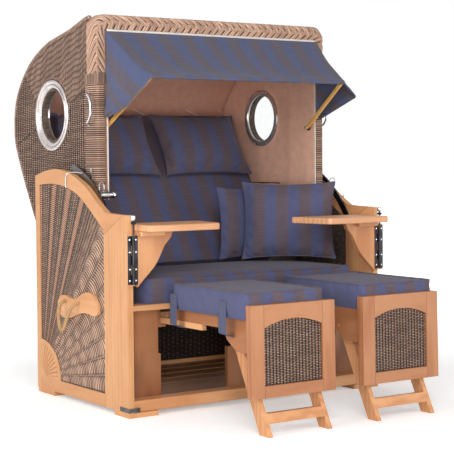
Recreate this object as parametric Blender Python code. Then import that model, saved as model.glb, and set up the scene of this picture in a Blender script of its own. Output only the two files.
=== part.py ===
# Hooded two-seat beach chair. Metres, +Z up, the seat faces -Y, +X is the sitter's left-hand side seen
# from the front. Every size below is a named value, and all places follow from them.

import math

import bmesh
import bpy
import numpy as np
from mathutils import Vector
from mathutils.geometry import tessellate_polygon

for old in list(bpy.data.objects):
    bpy.data.objects.remove(old, do_unlink=True)

# General clearances
seat_gap = 0.0003
running_gap = 0.0006
union_lap = 0.003
overrun = 0.05

# Base box, its middle at y = 0 before the whole part is moved on to its own middle
base_half_width = 0.633
base_panel_thickness = 0.0235
base_depth = 0.800
base_front_y = -0.384
panel_height = 0.973
panel_lower_z = 0.020
bottom_rail_height = 0.052
front_stile_width = 0.191
rear_stile_width = 0.038
wicker_recess = 0.0035
side_wicker_thickness = 0.017
fan_depth = 0.180
fan_height = 0.163
foot_reach = 0.110
foot_length = 0.114
rear_foot_inset = 0.008
rear_foot_length = 0.154

# Hood pivot and the batten that carries it
pivot_rear_distance = 0.176
pivot_y = base_front_y + base_depth - pivot_rear_distance
pivot_z = 0.470
pivot_pin_radius = 0.012
pivot_pin_length = 0.0375
pivot_batten_width = 0.100
pivot_batten_thickness = 0.0245
pivot_batten_lap = 0.0025
pivot_batten_top = 0.560

# Front of the base
crossbar_front_inset = 0.006
crossbar_depth = 0.0677
crossbar_height = 0.046
front_board_thickness = 0.021
front_board_width = 0.155
front_board_notch = 0.012
front_post_half_width = 0.118
front_post_top = 0.232
front_board_top = 0.4147
front_board_low = 0.030
seat_rail_height = 0.022
seat_rail_inset = 0.024
seat_rail_front_y = base_front_y + seat_rail_inset
rear_wall_thickness = 0.038
rear_wall_top = 0.440
rear_wall_low = 0.030
rear_rail_width = 0.050
rear_wicker_recess = 0.004
floor_thickness = 0.014
floor_z = 0.048
floor_slot_width = 0.022
floor_slot_count = 5
floor_edge = 0.060

# Seat deck with its runner guides
deck_thickness = 0.017
deck_rear_reach = 0.100
deck_rear_y = pivot_y - deck_rear_reach
guide_web = 0.010
guide_lip = 0.0265
guide_lip_height = 0.0163
seat_cushion_inset = 0.103
seat_cushion_half_width = base_half_width - seat_cushion_inset
seat_cushion_set_back = 0.037
seat_cushion_front_y = base_front_y + seat_cushion_set_back
seat_cushion_rear_reach = 0.095
seat_cushion_rear_y = pivot_y - seat_cushion_rear_reach
seat_cushion_top = 0.565
seat_cushion_edge = 0.100

# Handle block and rope of the side panels
handle_set_back = 0.227
handle_front_y = base_front_y + handle_set_back
handle_length = 0.353
handle_low_z = 0.349
handle_height = 0.122
handle_thickness = 0.013
rope_radius = 0.007
rope_hole_radius = 0.0086
rope_front_reach = 0.164
rope_front_y = handle_front_y + rope_front_reach
rope_hole_pitch = 0.116
rope_rear_y = rope_front_y + rope_hole_pitch
rope_hole_z = 0.4205

# Corner strap at the foot of each front corner
strap_thickness = 0.0012
strap_height = 0.018
strap_z = 0.022
strap_front_length = 0.050
strap_side_length = 0.070

# Hood
hood_side_clearance = 0.0215
hood_border_half_width = base_half_width - base_panel_thickness - hood_side_clearance
hood_border_proud = 0.015
hood_half_width = hood_border_half_width - hood_border_proud
hood_front_reach = 0.306
hood_front_y = pivot_y - hood_front_reach
hood_depth = 0.800
hood_height = 1.135
hood_top_z = 1.603
hood_border_depth = 0.121
hood_post_depth = 0.161
hood_post_top = 1.365
hood_post_low = 0.842
hood_opening_top = 1.533
hood_wall = 0.034
hood_opening_half_width = hood_half_width - hood_wall
hood_corner_radius = 0.052
hood_side_thickness = 0.0275
hood_band_thickness = 0.034
lining_thickness = 0.006
lining_hem_z = 0.890
hood_hub_radius = 0.060
hood_hole_clearance = 0.0006
hood_edge_round = 0.010

# Portholes
porthole_set_back = 0.420
porthole_y = hood_front_y + porthole_set_back
porthole_z = 1.204
porthole_aperture = 0.097
porthole_sleeve = 0.1052
porthole_flange = 0.140
porthole_ring = 0.154
porthole_proud = 0.0125
porthole_inner_flange = 0.118
porthole_inner_proud = 0.004
glass_thickness = 0.004

# Back rest, measured along a plane that leans back
back_lean = math.radians(30.8)
back_plane_reach = 0.331
back_plane_y = hood_front_y + hood_depth - back_plane_reach
back_plane_z = 0.917
back_cushion_thickness = 0.070
back_cushion_inset = 0.019
back_cushion_half_width = hood_opening_half_width - back_cushion_inset
back_cushion_low = -0.385
back_cushion_high = 0.365
back_board_thickness = 0.018
back_board_low = -0.360
back_board_high = 0.360
headrest_inner_x = 0.020
headrest_outer_inset = 0.053
headrest_outer_x = hood_opening_half_width - headrest_outer_inset
headrest_low = 0.005
headrest_high = 0.330
headrest_thickness = 0.105
headrest_gap = 0.0004

# Awning
bow_set_back = 0.036
bow_pivot_y = hood_front_y + bow_set_back
bow_pivot_z = 1.150
bow_rod_radius = 0.0065
bow_pin_radius = 0.0065
bow_reach_y = 0.300
bow_rise = 0.190
bow_foot_inset = 0.019
bow_foot_half_width = hood_opening_half_width - bow_foot_inset
bow_bar_inset = 0.057
bow_bar_half_width = hood_opening_half_width - bow_bar_inset
bow_pin_depth = 0.018
bow_bend = 0.014
awning_thickness = 0.0016
awning_top_lap = 0.005
awning_flap_low_z = 1.190
awning_tip_drop = 0.045
awning_sag = 0.030
awning_fold = 0.006
awning_side_gather = 0.013

# Grab handle on each hood post
grab_rod_radius = 0.005
grab_low_z = 1.157
grab_high_z = 1.283
grab_set_back = 0.086
grab_foot_y = hood_front_y + grab_set_back
grab_reach_y = 0.078
grab_stand_off = 0.024

# Stepless lock of the hood
lock_radius = 0.526
lock_angle = math.radians(41.0)
lock_rail_width = 0.028
lock_rail_thickness = 0.006
lock_rail_start = math.radians(13.0)
lock_rail_end = math.radians(66.0)
lock_pin_radius = 0.0075
lock_pin_gap = 0.0004
lock_housing_radius = 0.014
lock_housing_length = 0.036
lock_knob_radius = 0.012
lock_knob_length = 0.014
lock_strap_thickness = 0.0045
lock_strap_width = 0.024
lock_strap_set_back = 0.111
lock_strap_foot_y = hood_front_y + lock_strap_set_back
lock_strap_foot_z = 0.945
lock_lever_length = 0.070
lock_lever_width = 0.015
lock_rod_radius = 0.0045
lock_rod_reach_y = 0.115
lock_rod_drop = 0.048

# Swivel tables
table_top_z = 0.758
table_thickness = 0.026
table_front_reach = 0.120
table_front_y = base_front_y - table_front_reach
table_depth = 0.229
table_rear_y = table_front_y + table_depth
table_outer_inset = 0.0325
table_outer_x = base_half_width - table_outer_inset
table_front_length = 0.3255
table_inner_front_x = table_outer_x - table_front_length
table_rear_length = 0.3655
table_inner_rear_x = table_outer_x - table_rear_length
table_corner_radius = 0.022
bracket_front_reach = 0.020
bracket_front_y = base_front_y - bracket_front_reach
bracket_thickness = 0.022
bracket_reach = 0.170
bracket_drop = 0.217

# Hinges of the tables
hinge_axis_inset = 0.011
hinge_axis_x = base_half_width - hinge_axis_inset
hinge_axis_reach = 0.0075
hinge_axis_y = bracket_front_y - hinge_axis_reach
hinge_low_z = 0.526
hinge_high_z = 0.715
hinge_leaf_thickness = 0.0024
hinge_leaf_reach = 0.0225
hinge_knuckle_radius = 0.007
hinge_pin_radius = 0.003
hinge_knuckle_count = 5
hinge_spigot_top = 0.784
hinge_cap_radius = 0.0065
hinge_cap_height = 0.008
hinge_pad_width = 0.0145
hinge_pad_margin = 0.006

# Foot rests, given for the one at +X
rest_inner_x = 0.069
rest_outer_inset = 0.179
rest_outer_x = base_half_width - rest_outer_inset
rest_low_z = 0.138
rest_high_z = 0.478
rest_front_reach = 0.580
rest_front_y = base_front_y - rest_front_reach
rest_panel_thickness = 0.032
rest_lean = 0.007
rest_stile = 0.058
rest_bottom_rail = 0.044
rest_arch_end_z = 0.393
rest_arch_rise = 0.030
rest_rail_thickness = 0.020
rest_rail_inset = 0.024
rest_rail_outer_x = rest_outer_x - rest_rail_inset
rest_rail_inner_inset = 0.021
rest_rail_inner_x = rest_inner_x + rest_rail_inner_inset
rest_rail_top = 0.425
rest_rail_low = 0.3753
rest_rail_gap = 0.026
rest_rail_rear_y = base_front_y - rest_rail_gap
rest_gusset_length = 0.105
rest_gusset_heel = 0.085
rest_gusset_low_z = 0.297
rest_slat_width = 0.050
rest_slat_thickness = 0.016
rest_slat_count = 4
rest_wicker_thickness = 0.018
hook_reach = 0.016
hook_y = base_front_y - hook_reach
hook_z = 0.400

# Runner of each foot rest
runner_height = 0.0227
runner_front_reach = 0.212
runner_front_y = base_front_y - runner_front_reach
runner_length = 0.496
runner_rear_y = runner_front_y + runner_length
runner_cross_width = 0.040

# Cushion of each foot rest
rest_cushion_overhang = 0.006
rest_cushion_outer_x = rest_outer_x + rest_cushion_overhang
rest_cushion_inset = 0.019
rest_cushion_inner_x = rest_inner_x + rest_cushion_inset
rest_cushion_set_back = 0.039
rest_cushion_front_y = rest_front_y + rest_cushion_set_back
rest_cushion_length = 0.507
rest_cushion_rear_y = rest_cushion_front_y + rest_cushion_length
rest_cushion_edge = 0.096
rest_cushion_crown = 0.012
rest_strap_width = 0.048
rest_strap_thickness = 0.003
rest_strap_low_z = 0.350
rest_strap_rear_reach = 0.093
rest_strap_rear_y = base_front_y - rest_strap_rear_reach
rest_strap_front_set_back = 0.144
rest_strap_front_y = rest_front_y + rest_strap_front_set_back

# Folding leg of each foot rest
leg_pivot_set_back = 0.179
leg_pivot_y = rest_front_y + leg_pivot_set_back
leg_pivot_z = 0.352
leg_foot_reach = 0.031
leg_foot_front_y = rest_front_y - leg_foot_reach
leg_width = 0.058
leg_thickness = 0.020
leg_side_gap = 0.006
leg_pin_radius = 0.006
leg_bar_low_z = 0.045
leg_bar_high_z = 0.080
leg_bar_thickness = 0.020

# Loose cushions on the seat
scatter_half_width = 0.205
scatter_half_height = 0.170
scatter_thickness = 0.118
scatter_inset = 0.170
scatter_x = seat_cushion_half_width - scatter_inset
scatter_set_back = 0.247
scatter_y = seat_cushion_front_y + scatter_set_back
scatter_turn = math.radians(-38.0)
scatter_tilt = math.radians(6.0)
spare_half_width = 0.190
spare_half_height = 0.160
spare_thickness = 0.076
spare_inset = 0.220
spare_x = seat_cushion_half_width - spare_inset
spare_set_back = 0.442
spare_y = seat_cushion_front_y + spare_set_back
spare_turn = math.radians(-4.0)
spare_tilt = math.radians(4.0)
spare_settle = 0.0010
scatter_settle = 0.0

# Small shared sizes
wood_edge = 0.003
piping_half = 0.004
round_steps = 24
fine_steps = 32

# The object's middle, front of the folding legs to the back of the hood
middle_y = (leg_foot_front_y + hood_front_y + hood_depth) / 2
panel_inner_x = base_half_width - base_panel_thickness
base_rear_y = base_front_y + base_depth
hood_inner_x = hood_half_width - hood_side_thickness

# Outlines as shares of the sizes that they follow: across first, up second
panel_edge_shares = [(0.0, 0.816), (0.10, 0.8175), (0.201, 0.821), (0.2325, 0.829), (0.325, 0.8725),
                     (0.43, 0.929), (0.571, 0.975), (0.66, 0.992), (0.764, 1.0), (0.8825, 0.991),
                     (1.0, 0.970)]
panel_arch_shares = [(0.9525, 0.929), (0.86, 0.935), (0.766, 0.934), (0.64, 0.923), (0.5075, 0.890),
                     (0.379, 0.829), (0.239, 0.750)]
hood_profile_shares = [(0.151, 0.990), (0.3225, 0.957), (0.4575, 0.938), (0.60, 0.916), (0.766, 0.865),
                       (0.8875, 0.798), (0.97, 0.720), (1.0, 0.640), (0.995, 0.5595), (0.946, 0.479),
                       (0.795, 0.295), (0.595, 0.088)]
handle_shares = [(0.0, 0.42), (0.04, 0.74), (0.14, 0.96), (0.27, 1.0), (0.40, 0.90), (0.52, 0.72),
                 (0.66, 0.70), (0.80, 0.78), (0.92, 0.74), (1.0, 0.52), (0.98, 0.22), (0.88, 0.02),
                 (0.74, 0.0), (0.58, 0.12), (0.40, 0.27), (0.22, 0.28), (0.07, 0.24)]
bracket_shares = [(1.0, 0.0), (0.93, 0.06), (0.90, 0.13), (0.74, 0.26), (0.63, 0.42), (0.50, 0.60),
                  (0.32, 0.75), (0.16, 0.87), (0.0, 1.0)]
knuckle_shares = [0.0, 0.2, 0.4, 0.6, 0.8, 1.0]
slat_shares = [0.06, 0.35, 0.64, 0.93]


def shift(point):
    """A point of the base's own frame, moved so that the object's middle is at y = 0."""
    return (point[0], point[1] - middle_y, point[2])


def material(name, colour, roughness, metallic):
    mat = bpy.data.materials.new(name)
    mat.use_nodes = True
    shader = mat.node_tree.nodes["Principled BSDF"]
    shader.inputs["Base Color"].default_value = (colour[0], colour[1], colour[2], 1.0)
    shader.inputs["Roughness"].default_value = roughness
    shader.inputs["Metallic"].default_value = metallic
    mat.diffuse_color = (colour[0], colour[1], colour[2], 1.0)
    return mat


def add_object(name, shell, mat=None, origin=(0.0, 0.0, 0.0), smooth=False):
    """One closed shell as an object whose origin lies at the given point of the base's frame."""
    points, faces = shell
    at = Vector(shift(origin))
    mesh = bpy.data.meshes.new(name)
    mesh.from_pydata([tuple(Vector(shift(p)) - at) for p in points], [], faces)
    body = bmesh.new()
    body.from_mesh(mesh)
    bmesh.ops.recalc_face_normals(body, faces=body.faces)
    body.to_mesh(mesh)
    body.free()
    if mat is not None:
        mesh.materials.append(mat)
    if smooth:
        mesh.shade_smooth()
        mesh.set_sharp_from_angle(angle=math.radians(35.0))
    obj = bpy.data.objects.new(name, mesh)
    obj.location = at
    bpy.context.collection.objects.link(obj)
    return obj


def guide_object(name, shell):
    guide = add_object(name, shell)
    guide.hide_render = True
    guide.display_type = "WIRE"
    guide.hide_viewport = False
    return guide


def combine(target, shells, operation):
    """Join shells to an object, or cut them out of it, with exact Booleans."""
    for number, shell in enumerate(shells):
        guide = guide_object(f"guide_{operation.lower()}_{target.name}_{number}", shell)
        step = target.modifiers.new(f"{operation.lower()}_{number}", "BOOLEAN")
        step.operation = operation
        step.solver = "EXACT"
        step.object = guide
    return target


def soften(target, width):
    """A small chamfer along every sharp edge."""
    step = target.modifiers.new("edge", "BEVEL")
    step.width = width
    step.segments = 1
    step.limit_method = "ANGLE"
    step.angle_limit = math.radians(40.0)
    return target


def box(low, high):
    points = [(x, y, z) for x in (low[0], high[0]) for y in (low[1], high[1]) for z in (low[2], high[2])]
    faces = [(0, 1, 3, 2), (4, 6, 7, 5), (0, 4, 5, 1), (2, 3, 7, 6), (0, 2, 6, 4), (1, 5, 7, 3)]
    return points, faces


def prism(outline, low, high, axis):
    """A flat outline drawn out along an axis: (y, z) along X, (x, z) along Y, (x, y) along Z."""
    count = len(outline)

    def lift(pair, along):
        if axis == "X":
            return (along, pair[0], pair[1])
        if axis == "Y":
            return (pair[0], along, pair[1])
        return (pair[0], pair[1], along)

    points = [lift(pair, low) for pair in outline] + [lift(pair, high) for pair in outline]
    faces = [tuple(range(count))[::-1], tuple(range(count, 2 * count))]
    faces += [(i, (i + 1) % count, count + (i + 1) % count, count + i) for i in range(count)]
    return points, faces


def holed_prism(outline, holes, low, high, axis):
    """A flat outline with holes through it, drawn out along an axis."""
    loops = [outline] + holes
    flat = [pair for loop in loops for pair in loop]
    count = len(flat)
    triangles = tessellate_polygon([[Vector((a, b, 0.0)) for a, b in loop] for loop in loops])
    points = prism(flat, low, high, axis)[0]
    faces = []
    for a, b, c in triangles:
        first, second, third = flat[a], flat[b], flat[c]
        turn = (second[0] - first[0]) * (third[1] - first[1]) - (second[1] - first[1]) * (third[0] - first[0])
        if turn < 0:
            b, c = c, b
        faces.append((a, c, b))
        faces.append((count + a, count + b, count + c))
    start = 0
    for loop in loops:
        size = len(loop)
        for i in range(size):
            here = start + i
            after = start + (i + 1) % size
            faces.append((here, after, count + after, count + here))
        start += size
    return points, faces


def round_hole(centre, radius, steps=round_steps):
    return [(centre[0] + radius * math.cos(2 * math.pi * k / steps),
             centre[1] + radius * math.sin(2 * math.pi * k / steps)) for k in range(steps)]


def side_prism(outline, inner, outer, side):
    """A (y, z) outline drawn out between two distances from the middle plane, on one side."""
    return prism(outline, side * inner, side * outer, "X")


def disc(centre, radius, inner, outer, side, steps=round_steps):
    """A round bar along X between two distances from the middle plane; centre is (y, z)."""
    ring = [(centre[0] + radius * math.cos(2 * math.pi * k / steps),
             centre[1] + radius * math.sin(2 * math.pi * k / steps)) for k in range(steps)]
    return side_prism(ring, inner, outer, side)


def turned(profile, centre, side, steps, closed):
    """A profile of (radius, distance from the middle plane) turned round an X axis at (y, z)."""
    count = len(profile)
    points = []
    for k in range(steps):
        angle = 2 * math.pi * k / steps
        for radius, along in profile:
            points.append((side * along, centre[0] + radius * math.cos(angle),
                           centre[1] + radius * math.sin(angle)))
    faces = []
    for k in range(steps):
        other = (k + 1) % steps
        for i in range(count if closed else count - 1):
            j = (i + 1) % count
            faces.append((k * count + i, k * count + j, other * count + j, other * count + i))
    if not closed:
        faces.append(tuple(k * count for k in range(steps)))
        faces.append(tuple(k * count + count - 1 for k in range(steps))[::-1])
    return points, faces


def upright(profile, centre, steps, closed):
    """A profile of (radius, height) turned round a vertical axis at (x, y)."""
    points, faces = turned(profile, (0.0, 0.0), 1, steps, closed)
    return [(centre[0] + y, centre[1] + z, x) for x, y, z in points], faces


def smooth_line(points, steps, closed=False):
    """A curve that runs through the given points, with a few points on each stretch."""
    count = len(points)
    line = []
    last = count if closed else count - 1
    for i in range(last):
        if closed:
            quad = [np.array(points[(i + k) % count], float) for k in (-1, 0, 1, 2)]
        else:
            quad = [np.array(points[min(max(i + k, 0), count - 1)], float) for k in (-1, 0, 1, 2)]
        for s in range(steps):
            t = s / steps
            value = 2 * quad[1] + (quad[2] - quad[0]) * t
            value = value + (2 * quad[0] - 5 * quad[1] + 4 * quad[2] - quad[3]) * t ** 2
            value = value + (3 * quad[1] - quad[0] - 3 * quad[2] + quad[3]) * t ** 3
            line.append(tuple(value / 2))
    if not closed:
        line.append(tuple(points[-1]))
    return line


def round_path(points, radius, steps):
    """A line of points whose inner corners are rounded with short arcs."""
    path = [tuple(points[0])]
    for before, corner, after in zip(points, points[1:], points[2:]):
        corner = Vector(corner)
        start = corner + (Vector(before) - corner).normalized() * radius
        end = corner + (Vector(after) - corner).normalized() * radius
        for s in range(steps + 1):
            t = s / steps
            path.append(tuple((1 - t) ** 2 * start + 2 * t * (1 - t) * corner + t ** 2 * end))
    path.append(tuple(points[-1]))
    return path


def rod(name, points, radius, mat, origin, resolution):
    """A round bar bent along a line of points."""
    at = Vector(shift(origin))
    curve = bpy.data.curves.new(name, "CURVE")
    curve.dimensions = "3D"
    curve.bevel_depth = radius
    curve.bevel_resolution = resolution
    curve.use_fill_caps = True
    spline = curve.splines.new("POLY")
    spline.points.add(len(points) - 1)
    for knot, point in zip(spline.points, points):
        place = Vector(shift(point)) - at
        knot.co = (place[0], place[1], place[2], 1.0)
    spline.use_smooth = True
    curve.materials.append(mat)
    obj = bpy.data.objects.new(name, curve)
    obj.location = at
    bpy.context.collection.objects.link(obj)
    return obj


def tube_shell(points, radius, steps):
    """A closed tube mesh along a line of points, for joining to another piece."""
    line = [Vector(p) for p in points]
    count = len(line)
    across = Vector((0.0, 0.0, 1.0))
    verts = []
    for i, point in enumerate(line):
        ahead = line[min(i + 1, count - 1)] - line[max(i - 1, 0)]
        ahead.normalize()
        across = (across - ahead * across.dot(ahead)).normalized()
        other = ahead.cross(across)
        for k in range(steps):
            angle = 2 * math.pi * k / steps
            verts.append(tuple(point + across * radius * math.cos(angle) + other * radius * math.sin(angle)))
    faces = [tuple(range(steps))[::-1], tuple(range((count - 1) * steps, count * steps))]
    for i in range(count - 1):
        for k in range(steps):
            j = (k + 1) % steps
            faces.append((i * steps + k, i * steps + j, (i + 1) * steps + j, (i + 1) * steps + k))
    return verts, faces


def inset(outline, distance):
    """A closed outline moved inwards by a distance, or outwards by a negative one."""
    area = sum(a[0] * b[1] - b[0] * a[1] for a, b in zip(outline, outline[1:] + outline[:1]))
    turn = 1.0 if area > 0 else -1.0
    count = len(outline)
    moved = []
    for i in range(count):
        before, here, after = outline[i - 1], outline[i], outline[(i + 1) % count]
        first = Vector((here[0] - before[0], here[1] - before[1])).normalized()
        second = Vector((after[0] - here[0], after[1] - here[1])).normalized()
        normal_a = Vector((-first[1], first[0])) * turn
        normal_b = Vector((-second[1], second[0])) * turn
        middle = normal_a + normal_b
        scale = 2 / max(middle.length_squared, 1 / 2)
        moved.append((here[0] + middle[0] * scale * distance, here[1] + middle[1] * scale * distance))
    return moved


def mirror_pair(outline, side):
    return [(side * a, b) for a, b in outline]


def pillow(frame, half_width, half_length, edge, crown, under, draw, power, cells, dent=None):
    """A stuffed cushion: a crowned top, sides drawn in between the corners, a flat or full underside.
    frame is (centre, across, along, up); edge is half the height of the seam band."""
    centre, across, along, up = (Vector(v) for v in frame)

    def spot(i, j, level, swell):
        a = 2 * i / cells - 1
        b = 2 * j / cells - 1
        a = math.sin(a * math.pi / 2)
        b = math.sin(b * math.pi / 2)
        wide = half_width * a * (1 - draw * a * a * (1 - b * b))
        long = half_length * b * (1 - draw * b * b * (1 - a * a))
        fill = max((1 - abs(a) ** power) * (1 - abs(b) ** power), 0.0) ** (1 / 2)
        height = level + swell * fill
        if dent is not None and swell > 0:
            height -= dent(a, b)
        return centre + across * wide + along * long + up * height

    grid = cells + 1
    verts = [spot(i, j, edge, crown) for i in range(grid) for j in range(grid)]
    verts += [spot(i, j, -edge, -under) for i in range(grid) for j in range(grid)]
    low = grid * grid
    faces = []
    for i in range(cells):
        for j in range(cells):
            a, b, c, d = i * grid + j, (i + 1) * grid + j, (i + 1) * grid + j + 1, i * grid + j + 1
            faces.append((a, b, c, d))
            faces.append((low + a, low + d, low + c, low + b))
    border = [i * grid for i in range(grid)] + [cells * grid + j for j in range(1, grid)]
    border += [i * grid + cells for i in range(cells - 1, -1, -1)] + [j for j in range(cells - 1, 0, -1)]
    for here, after in zip(border, border[1:] + border[:1]):
        faces.append((here, low + here, low + after, after))
    return [tuple(v) for v in verts], faces


teak = material("teak", (0.72, 0.36, 0.16), 0.55, 0.0)
wicker = material("wicker", (0.20, 0.145, 0.11), 0.7, 0.0)
striped_cloth = material("striped_cloth", (0.115, 0.125, 0.21), 0.9, 0.0)
lining_cloth = material("lining_cloth", (0.42, 0.24, 0.17), 0.9, 0.0)
steel = material("polished_steel", (0.60, 0.60, 0.62), 0.22, 1.0)
dark_steel = material("dark_steel", (0.035, 0.035, 0.04), 0.4, 1.0)
clear = material("clear_pane", (0.75, 0.80, 0.83), 0.05, 0.0)
rope_fibre = material("rope_fibre", (0.66, 0.47, 0.24), 0.85, 0.0)


# Side panels of the base: a ring of rails and stiles with the curved arm rest on top
def panel_point(pair):
    return (base_front_y + base_depth * pair[0], panel_height * pair[1])


crest = smooth_line([panel_point(s) for s in panel_edge_shares], 2)
panel_outline = [(base_front_y, 0.0), (base_front_y + foot_length, 0.0)]
panel_outline += [(base_front_y + foot_length, panel_lower_z)]
panel_outline += [(base_rear_y - rear_foot_inset - rear_foot_length, panel_lower_z)]
panel_outline += [(base_rear_y - rear_foot_inset - rear_foot_length, 0.0)]
panel_outline += [(base_rear_y - rear_foot_inset, 0.0), (base_rear_y - rear_foot_inset, panel_lower_z)]
panel_outline += [(base_rear_y, panel_lower_z)] + crest[::-1]

window_low = panel_lower_z + bottom_rail_height
window_rear = base_rear_y - rear_stile_width
window_front = base_front_y + front_stile_width
arch = smooth_line([panel_point(s) for s in panel_arch_shares], 2)
fan = []
for k in range(9):
    angle = math.pi / 2 * k / 8
    fan.append((window_rear - fan_depth * math.cos(angle), window_low + fan_height * math.sin(angle)))
window_outline = [(window_front, window_low)] + fan + arch[:-1] + [(window_front, arch[-1][1])]

wicker_inner_x = base_half_width - wicker_recess - side_wicker_thickness
wicker_outer_x = base_half_width - wicker_recess

handle_outline = smooth_line([(handle_front_y + handle_length * a, handle_low_z + handle_height * b)
                              for a, b in handle_shares], 2, closed=True)
pad_inner_x = hinge_axis_x + hinge_knuckle_radius / 2
pad_front_y = bracket_front_y - seat_gap

for side, tag in ((-1, "l"), (1, "r")):
    frame = add_object(f"side_frame_{tag}",
                       holed_prism(panel_outline, [window_outline], side * panel_inner_x,
                                   side * base_half_width, "X"), teak)
    front_foot = box((side * (panel_inner_x - foot_reach), base_front_y + seat_gap, 0.0),
                     (side * (panel_inner_x + union_lap), base_front_y + foot_length - seat_gap,
                      panel_lower_z - seat_gap))
    rear_foot = box((side * (panel_inner_x - foot_reach / 2),
                     base_rear_y - rear_foot_inset - rear_foot_length + seat_gap, 0.0),
                    (side * (panel_inner_x + union_lap), base_rear_y - rear_foot_inset - seat_gap,
                     panel_lower_z - seat_gap))
    batten_outer = panel_inner_x + pivot_batten_lap
    batten_inner = batten_outer - pivot_batten_thickness - pivot_batten_lap
    batten = box((side * batten_inner, pivot_y - pivot_batten_width / 2, panel_lower_z + bottom_rail_height / 3),
                 (side * batten_outer, pivot_y + pivot_batten_width / 2, pivot_batten_top))
    pin = disc((pivot_y, pivot_z), pivot_pin_radius, batten_inner - pivot_pin_length,
               batten_inner + union_lap, side)
    pad = box((side * (panel_inner_x + union_lap), pad_front_y, hinge_low_z - hinge_pad_margin),
              (side * (base_half_width + hinge_pad_width - union_lap), base_front_y + union_lap,
               hinge_high_z + hinge_pad_margin))
    combine(frame, [batten, pin, rear_foot, front_foot, pad], "UNION")

    weave = add_object(f"side_wicker_{tag}", side_prism(inset(window_outline, seat_gap), wicker_inner_x,
                                                        wicker_outer_x, side), wicker)

    holes = [round_hole((y, rope_hole_z), rope_hole_radius, 16) for y in (rope_front_y, rope_rear_y)]
    block_inner = wicker_outer_x + seat_gap
    add_object(f"handle_block_{tag}",
               holed_prism(handle_outline, holes, side * block_inner,
                           side * (block_inner + handle_thickness), "X"), teak)

    # Corner strap: one thin angle round the foot of the front corner
    strap_in = base_half_width - strap_front_length
    front_face = base_front_y - seat_gap
    outer_face = base_half_width + seat_gap
    strap_outline = [(strap_in, front_face), (strap_in, front_face - strap_thickness),
                     (outer_face + strap_thickness, front_face - strap_thickness),
                     (outer_face + strap_thickness, base_front_y + strap_side_length),
                     (outer_face, base_front_y + strap_side_length), (outer_face, front_face)]
    add_object(f"corner_strap_{tag}", prism(mirror_pair(strap_outline, side), strap_z,
                                            strap_z + strap_height, "Z"), steel)

    # Fixed hinge leaf: a plate with knuckles and a tall spigot, one turned piece joined to it
    knuckle_z = [hinge_low_z + (hinge_high_z - hinge_low_z) * s for s in knuckle_shares]
    spigot = [(hinge_pin_radius, knuckle_z[0] + seat_gap)]
    profile = []
    for index in range(hinge_knuckle_count):
        low = knuckle_z[index]
        high = knuckle_z[index + 1]
        if index % 2 == 0:
            profile += [(hinge_knuckle_radius, low + seat_gap), (hinge_knuckle_radius, high - seat_gap)]
        else:
            profile += [(hinge_pin_radius, low - seat_gap), (hinge_pin_radius, high + seat_gap)]
    profile += [(hinge_pin_radius, hinge_high_z), (hinge_pin_radius, hinge_spigot_top),
                (hinge_cap_radius, hinge_spigot_top),
                (hinge_cap_radius, hinge_spigot_top + hinge_cap_height * 2 / 3),
                (hinge_cap_radius / 2, hinge_spigot_top + hinge_cap_height)]
    leaf_edge = hinge_knuckle_radius + running_gap
    outline = []
    reach_x = hinge_axis_x + hinge_leaf_reach
    near_x = hinge_axis_x + hinge_pin_radius / 2
    away_x = hinge_axis_x + leaf_edge
    for index in range(hinge_knuckle_count):
        low = knuckle_z[index] + seat_gap
        high = knuckle_z[index + 1] - seat_gap
        if index % 2 == 0:
            outline += [(near_x, low), (near_x, high)]
        else:
            outline += [(away_x, low - 2 * seat_gap), (away_x, high + 2 * seat_gap)]
    outline += [(reach_x, knuckle_z[-1] - seat_gap), (reach_x, knuckle_z[0] + seat_gap)]
    leaf_rear = pad_front_y - seat_gap
    fixed = add_object(f"hinge_fixed_{tag}",
                       prism(mirror_pair(outline, side), leaf_rear - hinge_leaf_thickness, leaf_rear, "Y"),
                       dark_steel)
    combine(fixed, [upright(profile, (side * hinge_axis_x, hinge_axis_y), 16, False)], "UNION")

    # Lock rail: an arc about the hood's pivot on the panel's inner face
    arc = []
    for radius in (lock_radius - lock_rail_width / 2, lock_radius + lock_rail_width / 2):
        run = []
        for k in range(17):
            angle = lock_rail_start + (lock_rail_end - lock_rail_start) * k / 16
            run.append((pivot_y - radius * math.sin(angle), pivot_z + radius * math.cos(angle)))
        arc += run if not arc else run[::-1]
    rail_outer = panel_inner_x - seat_gap
    add_object(f"lock_rail_{tag}", side_prism(arc, rail_outer - lock_rail_thickness, rail_outer, side), steel)

# Handle ropes: the loop leaves one hole, hangs outside the block and goes back into the other
for side, tag in ((-1, "l"), (1, "r")):
    start_x = wicker_outer_x + 2 * seat_gap
    reach = [(0.0, 0.0, 0.0), (0.0139, 0.0, 0.0), (0.0319, 0.002, -0.0045), (0.0479, 0.009, -0.0245),
             (0.0569, 0.021, -0.0625), (0.0599, 0.039, -0.1005), (0.0604, 0.059, -0.1145),
             (0.0599, 0.079, -0.1005), (0.0569, 0.096, -0.0625), (0.0479, 0.107, -0.0245),
             (0.0319, 0.114, -0.0045), (0.0139, 0.116, 0.0), (0.0, 0.116, 0.0)]
    route = [(side * (start_x + x), rope_front_y + y, rope_hole_z + z) for x, y, z in reach]
    rod(f"rope_{tag}", smooth_line(route, 2), rope_radius, rope_fibre, (0.0, 0.0, 0.0), 2)

# Front of the base: crossbar, boards with two openings, and the rail under the seat's front edge
crossbar_front = base_front_y + crossbar_front_inset
crossbar_rear = crossbar_front + crossbar_depth
crossbar_x = panel_inner_x - seat_gap
crossbar = add_object("front_crossbar",
                      box((-crossbar_x, crossbar_front, panel_lower_z),
                          (crossbar_x, crossbar_rear, panel_lower_z + crossbar_height)), teak)
soften(crossbar, wood_edge)

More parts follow.
